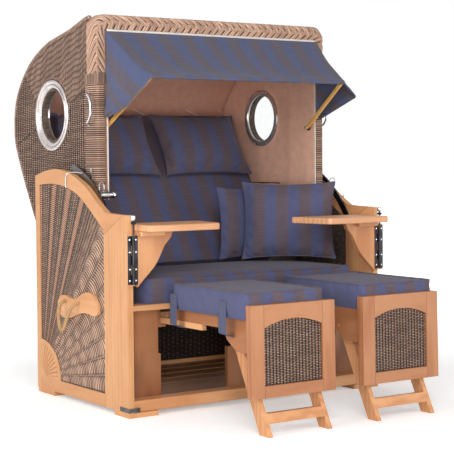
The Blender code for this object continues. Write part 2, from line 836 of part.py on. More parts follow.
board_front = crossbar_rear + seat_gap
board_rear = board_front + front_board_thickness
sill = panel_lower_z + crossbar_height
board_in = crossbar_x - front_board_width
notch_in = board_in - front_board_notch
half_boards = [(front_post_half_width, front_post_top), (front_post_half_width, sill), (notch_in, sill),
               (notch_in, front_post_top), (board_in, front_post_top), (board_in, front_board_top),
               (crossbar_x, front_board_top), (crossbar_x, front_board_low)]
boards = half_boards + [(-x, z) for x, z in half_boards[::-1]]
add_object("front_boards", prism(boards, board_front, board_rear, "Y"), teak)

seat_rail = add_object("seat_front_rail",
                       box((-crossbar_x, seat_rail_front_y, front_board_top + seat_gap),
                           (crossbar_x, board_rear, front_board_top + seat_gap + seat_rail_height)), teak)
soften(seat_rail, wood_edge)

# Rear wall: four rails round a woven field that lies a little deeper on both faces
rear_front_y = base_rear_y - rear_wall_thickness
rear_panel = add_object("rear_panel", box((-crossbar_x, rear_front_y, rear_wall_low),
                                          (crossbar_x, base_rear_y, rear_wall_top)), wicker)
rear_hole_x = crossbar_x - rear_rail_width
rear_hole_low = rear_wall_low + rear_rail_width
rear_hole_top = rear_wall_top - rear_rail_width
combine(rear_panel, [box((-rear_hole_x, rear_front_y - overrun, rear_hole_low),
                         (rear_hole_x, rear_front_y + rear_wicker_recess, rear_hole_top)),
                     box((-rear_hole_x, base_rear_y - rear_wicker_recess, rear_hole_low),
                         (rear_hole_x, base_rear_y + overrun, rear_hole_top))], "DIFFERENCE")

# Floor of the base with long slots between its slats
floor_front = board_rear + seat_gap
floor_rear = rear_front_y - seat_gap
floor = add_object("floor_deck", box((-crossbar_x, floor_front, floor_z),
                                     (crossbar_x, floor_rear, floor_z + floor_thickness)), teak)
pitch = (floor_rear - floor_front) / (floor_slot_count + 1)
slots = []
for index in range(floor_slot_count):
    middle = floor_front + pitch * (index + 1)
    slots.append(box((-crossbar_x + floor_edge, middle - floor_slot_width / 2, floor_z - overrun),
                     (crossbar_x - floor_edge, middle + floor_slot_width / 2,
                      floor_z + floor_thickness + overrun)))
combine(floor, slots, "DIFFERENCE")
for side in (-1, 1):
    foot_cut = box((side * (batten_inner - seat_gap), pivot_y - pivot_batten_width / 2 - seat_gap,
                    floor_z - overrun),
                   (side * (crossbar_x + overrun), pivot_y + pivot_batten_width / 2 + seat_gap,
                    floor_z + floor_thickness + overrun))
    guide = guide_object(f"guide_batten_{side}", foot_cut)
    step = floor.modifiers.new(f"batten_{side}", "BOOLEAN")
    step.operation = "DIFFERENCE"
    step.solver = "EXACT"
    step.object = guide

# Seat deck: one board whose guides hold the runners of the foot rests
rail_low_z = rest_rail_low
runner_top_z = rail_low_z - seat_gap
runner_low_z = runner_top_z - runner_height
deck_low = front_board_top + seat_gap + seat_rail_height - deck_thickness
deck_top = deck_low + deck_thickness
lip_top = runner_low_z - seat_gap
lip_low = lip_top - guide_lip_height
outer_web = rest_rail_outer_x + running_gap
inner_web = rest_rail_inner_x - running_gap
profile_right = [(inner_web + guide_lip, lip_low), (inner_web + guide_lip, lip_top), (inner_web, lip_top),
                 (inner_web, deck_low), (outer_web, deck_low), (outer_web, lip_top),
                 (outer_web - guide_lip, lip_top), (outer_web - guide_lip, lip_low),
                 (outer_web + guide_web, lip_low), (outer_web + guide_web, deck_low),
                 (crossbar_x, deck_low), (crossbar_x, deck_top)]
deck_outline = profile_right + [(-x, z) for x, z in profile_right[::-1]]
add_object("seat_deck", prism(deck_outline, board_rear + seat_gap, deck_rear_y, "Y"), teak)

# Seat cushion
seat_middle_y = (seat_cushion_front_y + seat_cushion_rear_y) / 2
seat_half_y = (seat_cushion_rear_y - seat_cushion_front_y) / 2
seat_bottom = deck_top + seat_gap
seat_crown = seat_cushion_top - seat_bottom - seat_cushion_edge
seat_frame = ((0.0, seat_middle_y, seat_bottom + seat_cushion_edge / 2), (1, 0, 0), (0, 1, 0), (0, 0, 1))
add_object("seat_cushion", pillow(seat_frame, seat_cushion_half_width, seat_half_y, seat_cushion_edge / 2,
                                  seat_crown, 0.0, 0.02, 6, 12), striped_cloth, smooth=True)



def seat_top(x, y):
    """Height of the seat cushion's crowned top at a place."""
    a = min(abs(x / seat_cushion_half_width), 1.0)
    b = min(abs((y - seat_middle_y) / seat_half_y), 1.0)
    fill = ((1 - a ** 6) * (1 - b ** 6)) ** (1 / 2)
    return seat_bottom + seat_cushion_edge + seat_crown * fill


# Loose cushions standing on the seat
for name, x, y, half_w, half_h, thick, turn, tilt, settle in (
        ("scatter_cushion", scatter_x, scatter_y, scatter_half_width, scatter_half_height,
         scatter_thickness, scatter_turn, scatter_tilt, scatter_settle),
        ("spare_cushion", spare_x, spare_y, spare_half_width, spare_half_height,
         spare_thickness, spare_turn, spare_tilt, spare_settle)):
    across = Vector((math.cos(turn), math.sin(turn), 0.0))
    face = Vector((math.sin(turn), -math.cos(turn), 0.0))
    along = Vector((0.0, 0.0, 1.0)) * math.cos(tilt) - face * math.sin(tilt)
    out = across.cross(along)
    drop = half_h * math.cos(tilt) + piping_half * abs(out[2])
    corner_x = x - half_w * math.cos(turn)
    corner_y = y - half_w * math.sin(turn) - half_h * math.sin(tilt) * face[1] * -1
    centre = Vector((x, y, seat_top(corner_x, corner_y) + seat_gap + drop - settle))
    add_object(name, pillow((centre, across, along, out), half_w, half_h, piping_half,
                            thick / 2 - piping_half, thick / 2 - piping_half, 0.07, 2, 12),
               striped_cloth, smooth=True)


# Hood: the front border, two woven sides, a woven band over roof and back, and the lining
def hood_point(pair):
    y = min(hood_front_y + hood_depth * pair[0], hood_front_y + hood_depth)
    return (y, pivot_z + hood_height * pair[1])


roof = smooth_line([hood_point(s) for s in hood_profile_shares], 3)
roof = [(min(y, hood_front_y + hood_depth), z) for y, z in roof]
border_rear_y = hood_front_y + hood_border_depth
post_rear_y = hood_front_y + hood_post_depth
hood_at = (0.0, pivot_y, pivot_z)

corner = []
for k in range(7):
    angle = math.pi / 2 * k / 6
    corner.append((hood_border_half_width - hood_corner_radius * (1 - math.cos(angle)),
                   hood_top_z - hood_corner_radius * (1 - math.sin(angle))))
inner_x = hood_opening_half_width
half_border = [(inner_x, hood_opening_top), (inner_x, hood_post_low)]
half_border += [(hood_border_half_width, hood_post_low)] + corner
border_outline = [(x, z) for x, z in half_border] + [(-x, z) for x, z in half_border[::-1]]
border = add_object("hood_border", prism(border_outline, hood_front_y, border_rear_y, "Y"), wicker, hood_at)
posts = []
for side in (-1, 1):
    posts.append(box((side * inner_x, border_rear_y - union_lap, hood_post_low),
                     (side * hood_border_half_width, post_rear_y, hood_post_top)))
combine(border, posts, "UNION")
bow_holes = [disc((bow_pivot_y, bow_pivot_z), bow_pin_radius + running_gap, inner_x - overrun,
                  inner_x + bow_pin_depth + union_lap, side, 16) for side in (-1, 1)]
for number, shell in enumerate(bow_holes):
    guide = guide_object(f"guide_bow_{number}", shell)
    step = border.modifiers.new(f"bow_{number}", "BOOLEAN")
    step.operation = "DIFFERENCE"
    step.solver = "EXACT"
    step.object = guide

hub = []
for k in range(9):
    angle = math.radians(-59.5) - math.radians(82.5) * k / 8
    hub.append((pivot_y + hood_hub_radius * math.cos(angle), pivot_z + hood_hub_radius * math.sin(angle)))
start_y = border_rear_y + seat_gap
behind_y = post_rear_y + seat_gap
side_outline = [(start_y, roof[0][1])] + roof[1:] + hub
side_outline += [(hood_front_y + hood_edge_round, hood_post_low - seat_gap), (behind_y, hood_post_low - seat_gap)]
side_outline += [(behind_y, hood_post_top + seat_gap), (start_y, hood_post_top + seat_gap)]

roof_normals = []
for i in range(len(roof)):
    before = roof[max(i - 1, 0)]
    after = roof[min(i + 1, len(roof) - 1)]
    run = Vector((after[0] - before[0], after[1] - before[1])).normalized()
    roof_normals.append((run[1], -run[0]))


def offset_roof(distance):
    """The roof and back line moved inwards."""
    return [(p[0] + n[0] * distance, p[1] + n[1] * distance) for p, n in zip(roof, roof_normals)]


def cut_line(line, front, low):
    """The part of a roof line behind a front plane and above a level, ending exactly on both."""
    kept = []
    for here, after in zip(line, line[1:]):
        if here[0] < front <= after[0] and not kept:
            part = (front - here[0]) / (after[0] - here[0])
            kept.append((front, here[1] + (after[1] - here[1]) * part))
        if after[0] > front and after[1] > low:
            kept.append(after)
        if here[1] > low >= after[1]:
            part = (here[1] - low) / (here[1] - after[1])
            kept.append((here[0] + (after[0] - here[0]) * part, low))
    return kept


band_inner = offset_roof(hood_band_thickness)
band_inner[0] = (start_y, band_inner[0][1])
band_outline = [(start_y, roof[0][1])] + roof[1:] + band_inner[::-1]
band_x = hood_inner_x - seat_gap
add_object("hood_band", prism(band_outline, -band_x, band_x, "X"), wicker, hood_at, smooth=True)

for side, tag in ((-1, "l"), (1, "r")):
    wall_holes = [round_hole((porthole_y, porthole_z), porthole_sleeve + running_gap, fine_steps),
                  round_hole((pivot_y, pivot_z), pivot_pin_radius + hood_hole_clearance)]
    add_object(f"hood_side_{tag}", holed_prism(side_outline, wall_holes, side * hood_inner_x,
                                               side * hood_half_width, "X"), wicker, hood_at)
    lip = [(porthole_aperture, hood_half_width + porthole_proud / 2),
           (porthole_aperture + porthole_proud / 2, hood_half_width + porthole_proud),
           (porthole_flange, hood_half_width + porthole_proud),
           (porthole_ring, hood_half_width + porthole_proud / 2),
           (porthole_ring, hood_half_width + seat_gap),
           (porthole_sleeve, hood_half_width + seat_gap),
           (porthole_sleeve, hood_opening_half_width - porthole_inner_proud / 2),
           (porthole_aperture, hood_opening_half_width - porthole_inner_proud / 2)]
    add_object(f"porthole_ring_{tag}", turned(lip, (porthole_y, porthole_z), side, fine_steps, True),
               steel, hood_at, smooth=True)
    pane_x = hood_half_width - glass_thickness
    add_object(f"porthole_pane_{tag}", disc((porthole_y, porthole_z), porthole_aperture - seat_gap, pane_x,
                                            pane_x + glass_thickness, side, fine_steps), clear, hood_at)

# Lining: a thin skin on the inside of sides, roof and back, open below its hem
skin_front = behind_y
skin_low = lining_hem_z - overrun
skin_outer = cut_line(offset_roof(hood_band_thickness + seat_gap), skin_front, lining_hem_z)
skin_inner = cut_line(offset_roof(hood_band_thickness + seat_gap + lining_thickness), skin_front, skin_low)
skin_outline = skin_outer + [(skin_front, lining_hem_z)]
hollow = [(skin_front - overrun, skin_inner[0][1])] + skin_inner + [(skin_front - overrun, skin_low)]
skin = add_object("hood_lining", prism(skin_outline, -band_x, band_x, "X"), lining_cloth, hood_at)
combine(skin, [prism(hollow, -hood_opening_half_width, hood_opening_half_width, "X"),
               disc((porthole_y, porthole_z), porthole_sleeve + running_gap, -hood_half_width,
                    hood_half_width, 1, fine_steps)], "DIFFERENCE")

# Back board, back cushion and two head rests on the leaning plane
slope = Vector((0.0, math.sin(back_lean), math.cos(back_lean)))
toward = Vector((0.0, -math.cos(back_lean), math.sin(back_lean)))
plane = Vector((0.0, back_plane_y, back_plane_z))


def back_outline(low, high, near, far):
    corners = [plane + slope * low + toward * near, plane + slope * high + toward * near,
               plane + slope * high + toward * far, plane + slope * low + toward * far]
    return [(c[1], c[2]) for c in corners]


board_near = -(back_cushion_thickness + seat_gap)
board_x = hood_opening_half_width - seat_gap
add_object("back_board", prism(back_outline(back_board_low, back_board_high, board_near,
                                            board_near - back_board_thickness), -board_x, board_x, "X"),
           teak, hood_at)
back_middle = (back_cushion_low + back_cushion_high) / 2
back_half = (back_cushion_high - back_cushion_low) / 2
back_crown = back_cushion_thickness / 5
back_centre = plane + slope * back_middle - toward * (back_cushion_thickness + back_crown) / 2
add_object("back_cushion", pillow((back_centre, (1, 0, 0), slope, toward), back_cushion_half_width, back_half,
                                  (back_cushion_thickness - back_crown) / 2, back_crown, 0.0, 0.02, 6, 12),
           striped_cloth, hood_at, smooth=True)
head_middle_x = (headrest_inner_x + headrest_outer_x) / 2
head_half_x = (headrest_outer_x - headrest_inner_x) / 2
head_half = (headrest_high - headrest_low) / 2
for side, tag in ((-1, "l"), (1, "r")):
    centre = plane + slope * (headrest_low + headrest_high) / 2 + toward * (headrest_gap + headrest_thickness / 4)
    centre[0] = side * head_middle_x
    edge_half = headrest_thickness / 4
    add_object(f"headrest_{tag}", pillow((centre, (1, 0, 0), slope, toward), head_half_x, head_half,
                                         edge_half, headrest_thickness / 2, 0.0, 0.06, 2, 10),
               striped_cloth, hood_at, smooth=True)

# Awning bow: two struts on pins in the posts and the bar between them
bow_at = (0.0, bow_pivot_y, bow_pivot_z)
bar_y = bow_pivot_y - bow_reach_y
bar_z = bow_pivot_z + bow_rise
half_bow = [(hood_opening_half_width + bow_pin_depth, bow_pivot_y, bow_pivot_z),
            (bow_foot_half_width, bow_pivot_y, bow_pivot_z), (bow_bar_half_width, bar_y, bar_z)]
bow_line = half_bow + [(-x, y, z) for x, y, z in half_bow[::-1]]
rod("awning_bow", round_path(bow_line, bow_bend, 4), bow_rod_radius, teak, bow_at, 2)

# Awning cloth: stretched from the border down to the bar, with a gathered flap on each side
awning_front = hood_front_y - seat_gap - awning_thickness / 2
awning_cols = 40
awning_rows = 10
post_x = hood_opening_half_width + awning_top_lap
top_z = hood_opening_top + awning_top_lap
flap_run = top_z - awning_flap_low_z
top_run = 2 * post_x
hem_lift = bow_rod_radius + awning_thickness
tip_x = bow_bar_half_width + hem_lift + running_gap
attach = []
hem = []
for k in range(awning_cols + 1):
    along = (2 * flap_run + top_run) * k / awning_cols
    if along < flap_run:
        part = along / flap_run
        attach.append(Vector((-post_x, awning_front, awning_flap_low_z + along)))
        hem.append(Vector((-tip_x, bar_y, bar_z + hem_lift - awning_tip_drop * (1 - part))))
    elif along > flap_run + top_run:
        part = (along - flap_run - top_run) / flap_run
        attach.append(Vector((post_x, awning_front, top_z - part * flap_run)))
        hem.append(Vector((tip_x, bar_y, bar_z + hem_lift - awning_tip_drop * part)))
    else:
        part = (along - flap_run) / top_run
        attach.append(Vector((post_x * (2 * part - 1), awning_front, top_z)))
        hem.append(Vector((tip_x * (2 * part - 1), bar_y, bar_z + hem_lift)))
sheet = []
for k in range(awning_cols + 1):
    row = []
    for r in range(awning_rows + 1):
        t = r / awning_rows
        point = attach[k].lerp(hem[k], t)
        swell = 4 * t * (1 - t)
        ridge = math.sin(2 * math.pi * 9 * k / awning_cols)
        edge = abs(2 * k / awning_cols - 1)
        point = point + Vector((0.0, 0.0, -awning_sag * swell * (1 - edge) + awning_fold * ridge * swell * t))
        if edge > 1 / 2:
            sign = -1 if k < awning_cols / 2 else 1
            wave = math.sin(3 * math.pi * t) * swell * (edge - 1 / 2)
            point = point + Vector((sign * awning_side_gather * abs(wave), 0.0, 0.0))
        row.append(point)
    sheet.append(row)
normals = []
for k in range(awning_cols + 1):
    line = []
    for r in range(awning_rows + 1):
        du = sheet[min(k + 1, awning_cols)][r] - sheet[max(k - 1, 0)][r]
        dv = sheet[k][min(r + 1, awning_rows)] - sheet[k][max(r - 1, 0)]
        line.append(dv.cross(du).normalized())
    normals.append(line)
wide = awning_rows + 1
upper = [sheet[k][r] + normals[k][r] * awning_thickness / 2 for k in range(awning_cols + 1) for r in range(wide)]
lower = [sheet[k][r] - normals[k][r] * awning_thickness / 2 for k in range(awning_cols + 1) for r in range(wide)]
for k in range(awning_cols + 1):
    for shell_side in (upper, lower):
        shell_side[k * wide][1] = min(shell_side[k * wide][1], hood_front_y - seat_gap)
cloth_faces = []
low = len(upper)
for k in range(awning_cols):
    for r in range(awning_rows):
        a, b = k * wide + r, (k + 1) * wide + r
        cloth_faces.append((a, b, b + 1, a + 1))
        cloth_faces.append((low + a, low + a + 1, low + b + 1, low + b))
rim = [k * wide for k in range(awning_cols + 1)] + [awning_cols * wide + r for r in range(1, wide)]
rim += [k * wide + awning_rows for k in range(awning_cols - 1, -1, -1)] + [r for r in range(awning_rows - 1, 0, -1)]
for here, after in zip(rim, rim[1:] + rim[:1]):
    cloth_faces.append((here, low + here, low + after, after))
add_object("awning_cloth", ([tuple(v) for v in upper + lower], cloth_faces), striped_cloth, bow_at, smooth=True)

# Grab handle and lock parts on the outside of each hood post
lock_y = pivot_y - lock_radius * math.sin(lock_angle)
lock_z = pivot_z + lock_radius * math.cos(lock_angle)
for side, tag in ((-1, "l"), (1, "r")):
    foot_x = hood_border_half_width + seat_gap
    out_x = foot_x + grab_stand_off
    middle_z = (grab_low_z + grab_high_z) / 2
    reach = grab_foot_y - grab_reach_y
    bow_points = [(foot_x, grab_foot_y, grab_low_z), (out_x, grab_foot_y, grab_low_z),
                  (out_x, reach, middle_z - (grab_high_z - grab_low_z) / 4),
                  (out_x, reach, middle_z + (grab_high_z - grab_low_z) / 4),
                  (out_x, grab_foot_y, grab_high_z), (foot_x, grab_foot_y, grab_high_z)]
    bow_points = [(side * x, y, z) for x, y, z in bow_points]
    rod(f"grab_handle_{tag}", round_path(bow_points, grab_stand_off / 2, 4), grab_rod_radius, steel, hood_at, 2)

    # Lock bracket: a strap from the post to the round housing, a short lever and a bent rod
    strap_low_x = hood_border_half_width + seat_gap
    strap_high_x = strap_low_x + lock_strap_thickness
    direction = Vector((lock_y - lock_strap_foot_y, lock_z - lock_strap_foot_z)).normalized()
    normal = Vector((-direction[1], direction[0])) * lock_strap_width / 2
    foot = Vector((lock_strap_foot_y, lock_strap_foot_z))
    tip = Vector((lock_y, lock_z))
    strap = [tuple(foot + normal), tuple(tip + normal), tuple(tip - normal), tuple(foot - normal)]
    bracket = add_object(f"lock_bracket_{tag}", side_prism(strap, strap_low_x, strap_high_x, side), steel, hood_at)
    housing_outer = strap_high_x
    housing_inner = housing_outer - lock_housing_length
    housing = disc((lock_y, lock_z), lock_housing_radius, housing_inner, housing_outer + seat_gap, side, 20)
    lever_y = hood_front_y + hood_border_depth / 3
    lever_part = (lock_strap_foot_y - lever_y) / (lock_strap_foot_y - lock_y)
    lever_low = lock_strap_foot_z + (lock_z - lock_strap_foot_z) * lever_part
    lever = box((side * strap_low_x, lever_y, lever_low),
                (side * (strap_high_x - seat_gap), lever_y + lock_lever_width, lever_low + lock_lever_length))
    rod_x = strap_high_x
    rod_start = (side * rod_x, lock_strap_foot_y - union_lap, lock_strap_foot_z)
    rod_end_y = lock_strap_foot_y + lock_rod_reach_y
    rod_end_z = lock_strap_foot_z - lock_rod_drop
    rod_points = round_path([rod_start, (side * rod_x, (lock_strap_foot_y + rod_end_y) / 2,
                                         lock_strap_foot_z + lock_rod_radius),
                             (side * rod_x, rod_end_y, rod_end_z)], lock_strap_width, 3)
    combine(bracket, [housing, lever, tube_shell(rod_points, lock_rod_radius, 8)], "UNION")
    bore = disc((lock_y, lock_z), lock_pin_radius + running_gap, housing_inner - overrun,
                housing_outer + overrun, side)
    guide = guide_object(f"guide_bore_{tag}", bore)
    step = bracket.modifiers.new("bore", "BOOLEAN")
    step.operation = "DIFFERENCE"
    step.solver = "EXACT"
    step.object = guide

    # Lock pin: turned in one with its pull knob, sprung against the rail
    tip_x = panel_inner_x - seat_gap - lock_rail_thickness - lock_pin_gap
    knob_out = housing_inner - seat_gap
    pin_profile = [(lock_pin_radius - running_gap, tip_x), (lock_pin_radius, tip_x - running_gap),
                   (lock_pin_radius, knob_out), (lock_knob_radius, knob_out),
                   (lock_knob_radius, knob_out - lock_knob_length * 3 / 4),
                   (lock_knob_radius * 2 / 3, knob_out - lock_knob_length)]
    pin = add_object(f"lock_pin_{tag}", turned(pin_profile, (lock_y, lock_z), side, 20, False), steel,
                     (side * tip_x, lock_y, lock_z), smooth=True)

# Swivel tables with their brackets and moving hinge leaves
for side, tag in ((-1, "l"), (1, "r")):
    swing_at = (side * hinge_axis_x, hinge_axis_y, 0.0)
    table_low = table_top_z - table_thickness
    corners = [(table_outer_x, table_front_y), (table_inner_front_x, table_front_y),
               (table_inner_rear_x, table_rear_y), (table_outer_x, table_rear_y)]
    rounded = []
    for i in range(4):
        here = Vector(corners[i])
        before = (Vector(corners[i - 1]) - here).normalized() * table_corner_radius
        after = (Vector(corners[(i + 1) % 4]) - here).normalized() * table_corner_radius
        for s in range(4):
            t = s / 3
            rounded.append(tuple((1 - t) ** 2 * (here + before) + 2 * t * (1 - t) * here + t ** 2 * (here + after)))
    top = add_object(f"table_top_{tag}", prism(mirror_pair(rounded, side), table_low, table_top_z, "Z"),
                     teak, swing_at)
    soften(top, wood_edge)

    bracket_top = table_low - seat_gap
    curve = smooth_line([(table_outer_x - bracket_reach * a, bracket_top - bracket_drop * b)
                         for a, b in bracket_shares], 2)
    outline = [(table_outer_x, bracket_top)] + curve
    rear_y = bracket_front_y + bracket_thickness
    arm = add_object(f"table_bracket_{tag}", prism(mirror_pair(outline, side), bracket_front_y, rear_y, "Y"),
                     teak, swing_at)

    leaf = []
    near_x = hinge_axis_x - hinge_pin_radius / 2
    away_x = hinge_axis_x - leaf_edge
    far_x = hinge_axis_x - hinge_leaf_reach
    for index in range(hinge_knuckle_count):
        low = knuckle_z[index]
        high = knuckle_z[index + 1]
        if index % 2 == 1:
            leaf += [(near_x, low + seat_gap), (near_x, high - seat_gap)]
        else:
            leaf += [(away_x, low + (seat_gap if index == 0 else -seat_gap)),
                     (away_x, high - (seat_gap if index == hinge_knuckle_count - 1 else -seat_gap))]
    leaf += [(far_x, knuckle_z[-1] - seat_gap), (far_x, knuckle_z[0] + seat_gap)]
    leaf_back = bracket_front_y - seat_gap
    moving = add_object(f"hinge_moving_{tag}",
                        prism(mirror_pair(leaf, side), leaf_back - hinge_leaf_thickness, leaf_back, "Y"),
                        dark_steel, swing_at)
    rings = []
    for index in range(1, hinge_knuckle_count, 2):
        low = knuckle_z[index] + seat_gap
        high = knuckle_z[index + 1] - seat_gap
        ring = [(hinge_pin_radius + running_gap, low), (hinge_knuckle_radius, low),
                (hinge_knuckle_radius, high), (hinge_pin_radius + running_gap, high)]
        rings.append(upright(ring, (side * hinge_axis_x, hinge_axis_y), 16, True))
    combine(moving, rings, "UNION")

# Foot rests: framed panel, side rails, gussets and slats in one, with infill, runner, leg and cushion
for side, tag in ((-1, "l"), (1, "r")):
    lift_at = (0.0, hook_y, hook_z)
    panel_rear = rest_front_y + rest_panel_thickness
    panel_frame = [(rest_inner_x, rest_low_z), (rest_outer_x, rest_low_z), (rest_outer_x, rest_high_z),
                   (rest_inner_x, rest_high_z)]
    open_in = rest_inner_x + rest_stile
    open_out = rest_outer_x - rest_stile
    open_low = rest_low_z + rest_bottom_rail
    window = [(open_in, open_low), (open_out, open_low)]
    for k in range(9):
        t = k / 8
        window.append((open_out + (open_in - open_out) * t,
                       rest_arch_end_z + rest_arch_rise * 4 * t * (1 - t)))

    def leaned(shell):
        points, faces = shell
        return [(x, y + rest_lean * (z - rest_low_z) / (rest_high_z - rest_low_z), z) for x, y, z in points], faces

    frame = add_object(f"footrest_frame_{tag}",
                       leaned(prism(mirror_pair(panel_frame, side), rest_front_y, panel_rear, "Y")), teak, lift_at)
    combine(frame, [leaned(prism(mirror_pair(window, side), rest_front_y - overrun, panel_rear + overrun, "Y"))],
            "DIFFERENCE")
    join_y = panel_rear - union_lap
    gusset_rear = join_y + rest_gusset_length
    rail = [(join_y, rest_rail_top), (rest_rail_rear_y, rest_rail_top), (rest_rail_rear_y, rest_rail_low),
            (gusset_rear + rest_gusset_heel, rest_rail_low),
            (gusset_rear + rest_gusset_heel * 3 / 4, (rest_rail_low + rest_gusset_low_z) / 2),
            (gusset_rear, rest_gusset_low_z), (join_y, rest_gusset_low_z)]
    outer_rail = side_prism(rail, rest_rail_outer_x - rest_rail_thickness, rest_rail_outer_x, side)
    inner_rail = side_prism(rail, rest_rail_inner_x, rest_rail_inner_x + rest_rail_thickness, side)
    slats = []
    slat_run = rest_rail_rear_y - join_y - rest_slat_width
    for share in slat_shares:
        low_y = join_y + slat_run * share
        slats.append(box((side * (rest_rail_inner_x + rest_rail_thickness - union_lap), low_y,
                          rest_rail_top - rest_slat_thickness - union_lap),
                         (side * (rest_rail_outer_x - rest_rail_thickness + union_lap), low_y + rest_slat_width,
                          rest_rail_top - union_lap)))
    combine(frame, [outer_rail, inner_rail] + slats, "UNION")
    pin_hole = disc((leg_pivot_y, leg_pivot_z), leg_pin_radius + running_gap, rest_rail_inner_x - overrun,
                    rest_rail_outer_x + overrun, side)
    guide = guide_object(f"guide_leg_{tag}", pin_hole)
    step = frame.modifiers.new("leg_hole", "BOOLEAN")
    step.operation = "DIFFERENCE"
    step.solver = "EXACT"
    step.object = guide

    infill_front = rest_front_y + (rest_panel_thickness - rest_wicker_thickness) / 2
    add_object(f"footrest_wicker_{tag}",
               leaned(prism(mirror_pair(inset(window, seat_gap), side), infill_front,
                            infill_front + rest_wicker_thickness, "Y")), wicker, lift_at)

    runner = [(rest_rail_inner_x, runner_front_y), (rest_rail_inner_x, runner_rear_y),
              (rest_rail_outer_x, runner_rear_y), (rest_rail_outer_x, runner_front_y),
              (rest_rail_outer_x - rest_rail_thickness, runner_front_y),
              (rest_rail_outer_x - rest_rail_thickness, runner_rear_y - runner_cross_width),
              (rest_rail_inner_x + rest_rail_thickness, runner_rear_y - runner_cross_width),
              (rest_rail_inner_x + rest_rail_thickness, runner_front_y)]
    add_object(f"footrest_runner_{tag}", prism(mirror_pair(runner, side), runner_low_z, runner_top_z, "Z"), teak)

    cushion_low = rest_rail_top + seat_gap
    rest_middle_x = (rest_cushion_inner_x + rest_cushion_outer_x) / 2
    rest_half_x = (rest_cushion_outer_x - rest_cushion_inner_x) / 2
    rest_middle_y = (rest_cushion_front_y + rest_cushion_rear_y) / 2
    rest_half_y = (rest_cushion_rear_y - rest_cushion_front_y) / 2

    def tuck(a, b):
        """The sewn-in tuft line across the top, a little way back from the front edge."""
        near = math.exp(-((b + 3 / 5) * 8) ** 2)
        return rest_cushion_crown / 2 * near * (1 - a * a)

    frame_axes = ((side * rest_middle_x, rest_middle_y, cushion_low + rest_cushion_edge / 2), (1, 0, 0),
                  (0, 1, 0), (0, 0, 1))
    cushion = add_object(f"footrest_cushion_{tag}",
                         pillow(frame_axes, rest_half_x, rest_half_y, rest_cushion_edge / 2,
                                rest_cushion_crown, 0.0, 0.03, 4, 12, tuck), striped_cloth, lift_at, smooth=True)
    strap_x = rest_rail_outer_x + seat_gap
    straps = []
    for low_y in (rest_strap_rear_y, rest_strap_front_y):
        straps.append(box((side * strap_x, low_y, rest_strap_low_z),
                          (side * (strap_x + rest_strap_thickness), low_y + rest_strap_width,
                           cushion_low + rest_cushion_edge / 4)))
    combine(cushion, straps, "UNION")

    # Folding leg: two raked legs with a bar between them and a pin in each gusset
    fold_at = (0.0, leg_pivot_y, leg_pivot_z)
    foot_middle = leg_foot_front_y + leg_width / 2
    rake = Vector((foot_middle - leg_pivot_y, -leg_pivot_z))
    reach = rake.length
    rake.normalize()
    cross = Vector((-rake[1], rake[0]))
    half = leg_width / 2 * abs(rake[1])
    leg = [(leg_foot_front_y, 0.0), (leg_foot_front_y + leg_width, 0.0)]
    top = []
    for k in range(7):
        angle = math.pi * k / 6
        spot = Vector((leg_pivot_y, leg_pivot_z)) + cross * half * math.cos(angle) - rake * half * math.sin(angle)
        top.append(tuple(spot))
    if top[0][0] < top[-1][0]:
        top = top[::-1]
    leg += top
    outer_leg = rest_rail_outer_x - rest_rail_thickness - leg_side_gap
    inner_leg_low = rest_rail_inner_x + rest_rail_thickness + seat_gap * 2
    inner_leg_high = inner_leg_low + leg_thickness - seat_gap
    legs = add_object(f"leg_frame_{tag}", side_prism(leg, outer_leg - leg_thickness, outer_leg, side), teak, fold_at)
    second = side_prism(leg, inner_leg_low, inner_leg_high, side)

    def raked(z, back):
        front = leg_foot_front_y + rake[0] / rake[1] * z
        return (front + back, z)

    bar = [raked(leg_bar_low_z, 0.0), raked(leg_bar_low_z, leg_bar_thickness),
           raked(leg_bar_high_z, leg_bar_thickness), raked(leg_bar_high_z, 0.0)]
    bar_shell = side_prism(bar, inner_leg_high - union_lap, outer_leg - leg_thickness + union_lap, side)
    outer_pin = disc((leg_pivot_y, leg_pivot_z), leg_pin_radius, outer_leg - union_lap,
                     rest_rail_outer_x - seat_gap, side)
    inner_pin = disc((leg_pivot_y, leg_pivot_z), leg_pin_radius, rest_rail_inner_x + seat_gap,
                     inner_leg_low + union_lap, side)
    combine(legs, [second, bar_shell, outer_pin, inner_pin], "UNION")
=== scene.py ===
import math

import bpy
import numpy as np
from mathutils import Matrix, Vector


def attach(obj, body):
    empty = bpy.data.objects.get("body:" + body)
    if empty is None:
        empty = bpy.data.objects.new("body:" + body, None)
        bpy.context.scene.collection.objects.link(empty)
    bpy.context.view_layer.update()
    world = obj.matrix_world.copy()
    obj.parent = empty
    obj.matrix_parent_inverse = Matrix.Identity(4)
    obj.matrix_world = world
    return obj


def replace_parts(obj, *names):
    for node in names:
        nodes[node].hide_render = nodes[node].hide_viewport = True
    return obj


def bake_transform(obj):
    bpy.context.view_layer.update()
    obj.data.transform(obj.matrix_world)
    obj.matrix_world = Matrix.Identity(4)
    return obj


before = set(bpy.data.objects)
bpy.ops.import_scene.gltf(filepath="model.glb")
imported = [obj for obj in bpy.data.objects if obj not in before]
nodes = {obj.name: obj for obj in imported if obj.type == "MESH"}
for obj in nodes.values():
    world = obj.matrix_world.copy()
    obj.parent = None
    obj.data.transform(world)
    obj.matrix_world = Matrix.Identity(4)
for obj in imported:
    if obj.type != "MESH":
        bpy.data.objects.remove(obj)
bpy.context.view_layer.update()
both_sides = (("l", -1), ("r", 1))

